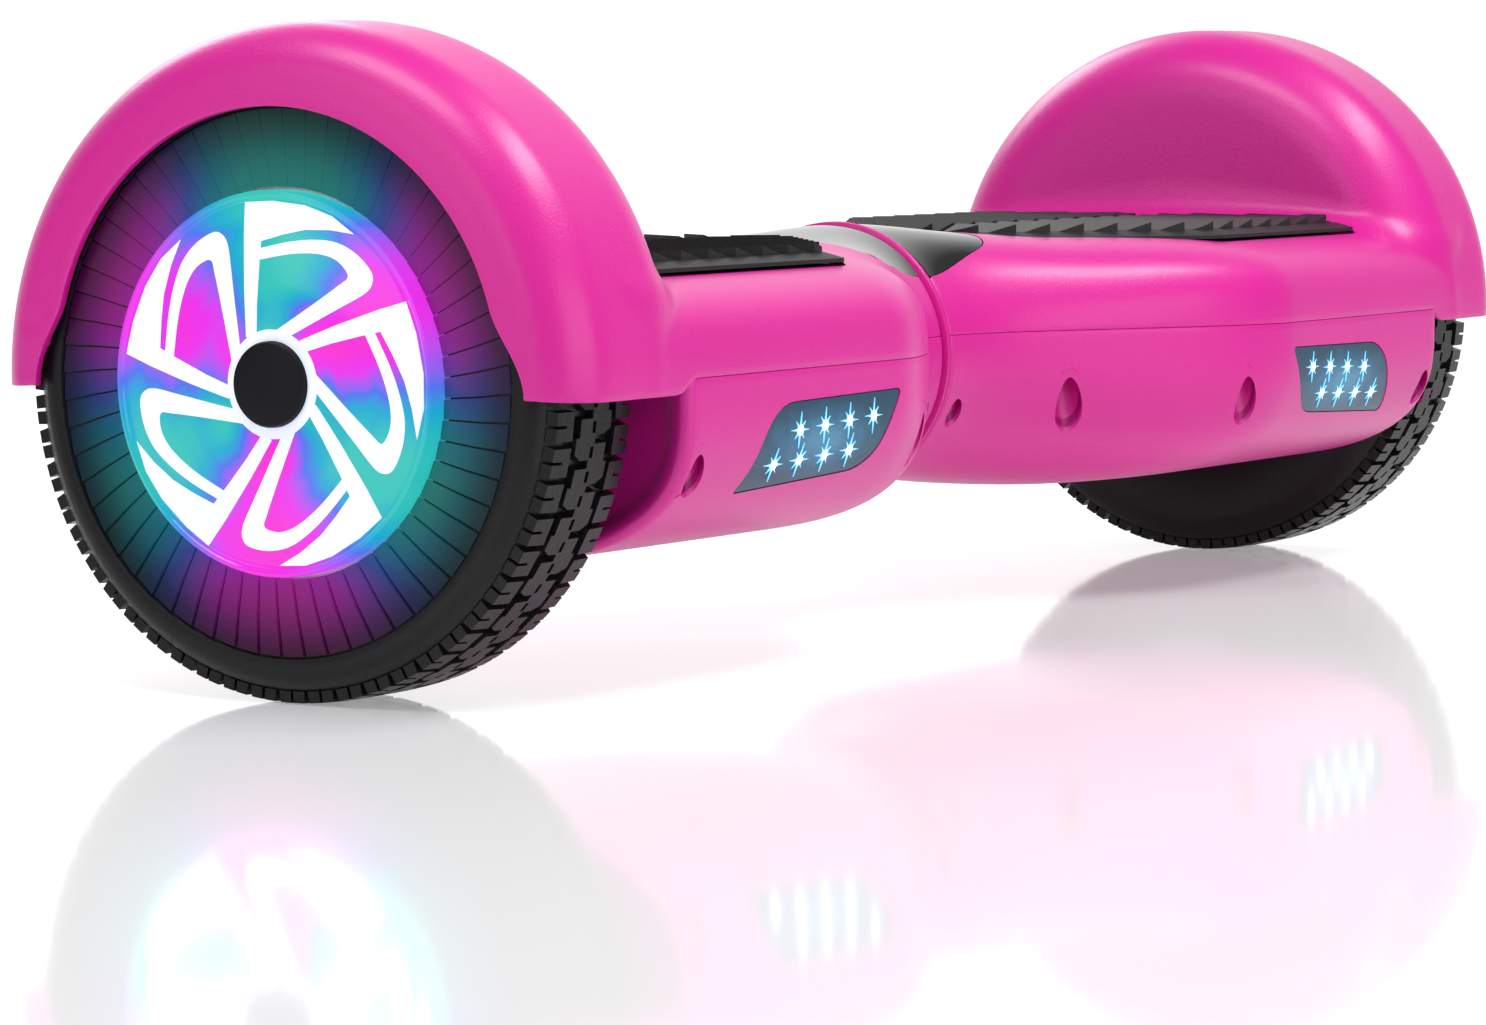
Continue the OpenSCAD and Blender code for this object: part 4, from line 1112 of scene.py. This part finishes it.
for side in SIDES:
    spun_piece(f"lit_disc_{side}", side, DISC_PROFILE, DISC_GLOW, [f"light_disc_{side}"])
    spun_piece(f"axle_cap_{side}", side, CAP_PROFILE, CAP_BLACK, [f"hub_cap_{side}"], 96)
    bm = bmesh.new()
    wheel_turns(bm, BLADES, one_blade())
    back, front = WHEEL_X + PRINT_BACK, WHEEL_X + DISC_FACE + PRINT_THICK
    ring = [(back, CAP_R - 0.1), (front, CAP_R - 0.1), (front, RING_R), (back, RING_R)]
    spin_x(bm, ring, AXLE_Z, 96)
    to_side(bm, side)
    finish_piece(make_object(f"fan_print_{side}", bm), f"{side}_wheel", PRINT)
print(BLADES, "blades on each disc, printed at x", WHEEL_X + DISC_FACE)

# %% [markdown]
# ## Foot mats
# A mat is one rubber moulding: a plate with a sloping skirt, rows of slanting ridges that are
# steep on one side, and pegs below that push the light gates.

# %% Mats
RIDGE_PITCH = 14.0
RIDGE_W = 10.5
RIDGE_RUN = 0.68
RIDGE_LOW = 113.9
RIDGE_SPAN = (4.5, 76)
BORDER = 6.0
SKIRT_TOP_Z = 112.4
PEG_TIP_Z = 106.2

def ridge_bars():
    """Slanting bars across the mat, high on one edge, mirrored front to back."""
    bm = bmesh.new()
    near, far = RIDGE_SPAN
    lean = (far - near) * RIDGE_RUN
    for bar in range(18):
        x = 30 + RIDGE_PITCH * bar
        base = [(x, near), (x + RIDGE_W, near), (x + RIDGE_W - lean, far), (x - lean, far)]
        for front in (1, -1):
            face = bm.faces.new([bm.verts.new(Vector((a, b * front, RIDGE_LOW - 1)) * MM)
                                 for a, b in base])
            for vert in drawn_out(bm, [face]):
                edge = vert.co.x / MM + (abs(vert.co.y) / MM - near) * RIDGE_RUN - x
                vert.co.z = (RIDGE_TOP if edge > RIDGE_W / 2 else RIDGE_LOW + 0.2) * MM
    bmesh.ops.recalc_face_normals(bm, faces=bm.faces)
    return bm

for side in SIDES:
    bm = bmesh.new()
    outline = rounded(MAT_OUTLINE, MAT_CORNER)
    base_z = MAT_TOP - 6.9
    prism(bm, outline, base_z, SKIRT_TOP_Z)
    top = max(bm.faces, key=lambda f: f.calc_center_median().z)
    bmesh.ops.inset_region(bm, faces=[top], thickness=5.5 * MM, depth=1.6 * MM, use_even_offset=True,
                           use_boundary=True)
    for x, y in PEG_SITES:
        upright(bm, x, y, PEG_TIP_Z, base_z, PEG_R, 24)
    mat = make_object(f"foot_mat_rubber_{side}", bm)
    ridges = make_object("ridges", ridge_bars())
    field = bmesh.new()
    prism(field, rounded(grown(MAT_OUTLINE, -BORDER), MAT_CORNER - 2), 110, 130)
    carve(ridges, field, "INTERSECT")
    add_island(mat, taken_mesh(ridges))
    finish_piece(mirrored_for(mat, side), f"{side}_mat", RUBBER, [f"foot_mat_{side}"])
    print(mat.name, len(mat.data.polygons), "faces")

# %% [markdown]
# ## Inner parts
# The frame, motors and boards keep the shapes they came with, because they are already true. Each
# gets the finish of its material.

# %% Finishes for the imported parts
NODE_FINISHES = {
    "frame": CAST, "axle_clamp": STEEL, "clamp_bolts": STEEL, "axle": STEEL, "hub_casting": CAST,
    "motor_cover": CAST, "heat_sink": CAST, "bearings": STEEL, "shell_screws": STEEL,
    "cover_screws": STEEL, "pivot_tube": STEEL, "retaining_ring": STEEL, "stator": LAMINATION,
    "windings": COPPER, "magnets": NICKEL, "sensor_board": BOARD, "headlight_board": BOARD,
    "main_board": BOARD, "light_board": WHITE_BOARD, "battery_pack": WRAP, "battery_lead": LEAD,
    "pivot_bushes": BUSH, "wiring_loom": BLACK_FITTING, "speaker": BLACK_FITTING,
    "charge_port": BLACK_FITTING, "charge_port_cap": RUBBER, "button_housing": BLACK_FITTING,
    "power_button": BLACK_GLOSS,
}
dressed = 0
for name, node in frame["nodes"].items():
    kind = name.removesuffix("_left").removesuffix("_right")
    if kind in NODE_FINISHES:
        node.data.materials.clear()
        node.data.materials.append(NODE_FINISHES[kind])
        dressed += 1
print(dressed, "packed parts have a finish")

# %% [markdown]
# ## Stage, light and camera
# A pale glossy floor, large soft lamps, and a long lens that looks at the front from beside the
# left wheel, as for a catalogue picture.

# %% Floor
bm = bmesh.new()
bmesh.ops.create_grid(bm, x_segments=1, y_segments=1, size=6)
floor = make_object("studio_floor", bm)
floor_finish, nodes, links, shader = new_finish("floor_pale", Roughness=0.07, Specular_IOR_Level=0.5,
                                                Emission_Strength=0.42)
floor_tone = ramp(nodes, links, object_noise(nodes, links, 0.8),
                  [(0.3, (0.66, 0.66, 0.665)), (0.7, (0.68, 0.68, 0.685))])
links.new(floor_tone, shader.inputs["Base Color"])
links.new(floor_tone, shader.inputs["Emission Color"])
floor.data.materials.append(floor_finish)

# %% Lights
def soft_light(name, place, aim, wide, watts, tall):
    """A rectangular lamp at a place, pointing at another."""
    lamp = bpy.data.lights.new(name, "AREA")
    lamp.shape = "RECTANGLE"
    lamp.size, lamp.size_y = wide, tall
    lamp.energy = watts
    holder = bpy.data.objects.new(name, lamp)
    holder.location = place
    holder.rotation_euler = (Vector(aim) - Vector(place)).to_track_quat("-Z", "Y").to_euler()
    bpy.context.scene.collection.objects.link(holder)

soft_light("key_above", (0.15, -0.75, 1.35), (0, 0, 0.1), 1.0, 17, 0.35)
soft_light("front_fill", (-0.5, -1.7, 0.45), (0, 0, 0.08), 1.6, 8, 0.7)
soft_light("left_fill", (-1.9, 0.5, 0.7), (-0.2, 0, 0.1), 1.2, 6, 1.0)
soft_light("top_left", (-0.75, 0.1, 1.2), (-0.2, 0, 0.1), 0.8, 8, 0.4)
soft_light("rim_behind", (0.9, 1.3, 1.0), (0.1, 0, 0.1), 1.0, 8, 0.6)

# %% [markdown]
# The world is a dark room with one bright side, behind the board as the camera sees it. Its
# strength follows how far a direction points that way.

# %% Backdrop
world = bpy.data.worlds.new("studio_world")
world.use_nodes = True
nodes, links = world.node_tree.nodes, world.node_tree.links
facing = nodes.new("ShaderNodeVectorMath")
facing.operation = "DOT_PRODUCT"
facing.inputs[1].default_value = (0.855, 0.518, 0.0)
links.new(nodes.new("ShaderNodeTexCoord").outputs["Generated"], facing.inputs[0])
backdrop = nodes.new("ShaderNodeMapRange")
for socket, value in {"From Min": 0.55, "From Max": 0.85, "To Min": 0.24, "To Max": 1.02}.items():
    backdrop.inputs[socket].default_value = value
links.new(facing.outputs["Value"], backdrop.inputs["Value"])
links.new(backdrop.outputs["Result"], nodes["Background"].inputs["Strength"])
nodes["Background"].inputs["Color"].default_value = (1, 1, 1, 1)
bpy.context.scene.world = world
bpy.context.scene.view_settings.view_transform = "Standard"

# %% Camera
YAW, PITCH, ROLL = math.radians(58.8), math.radians(4.55), math.radians(0.28)
camera_data = bpy.data.cameras.new("catalogue_camera")
camera_data.sensor_width = 36
camera_data.lens = 131.4
camera = bpy.data.objects.new("catalogue_camera", camera_data)
camera.location = (-1.4237, -0.8298, 0.1616)
camera.rotation_euler = (math.pi / 2 - PITCH, ROLL, -YAW)
bpy.context.scene.collection.objects.link(camera)
bpy.context.scene.camera = camera
print("camera at", *camera.location)
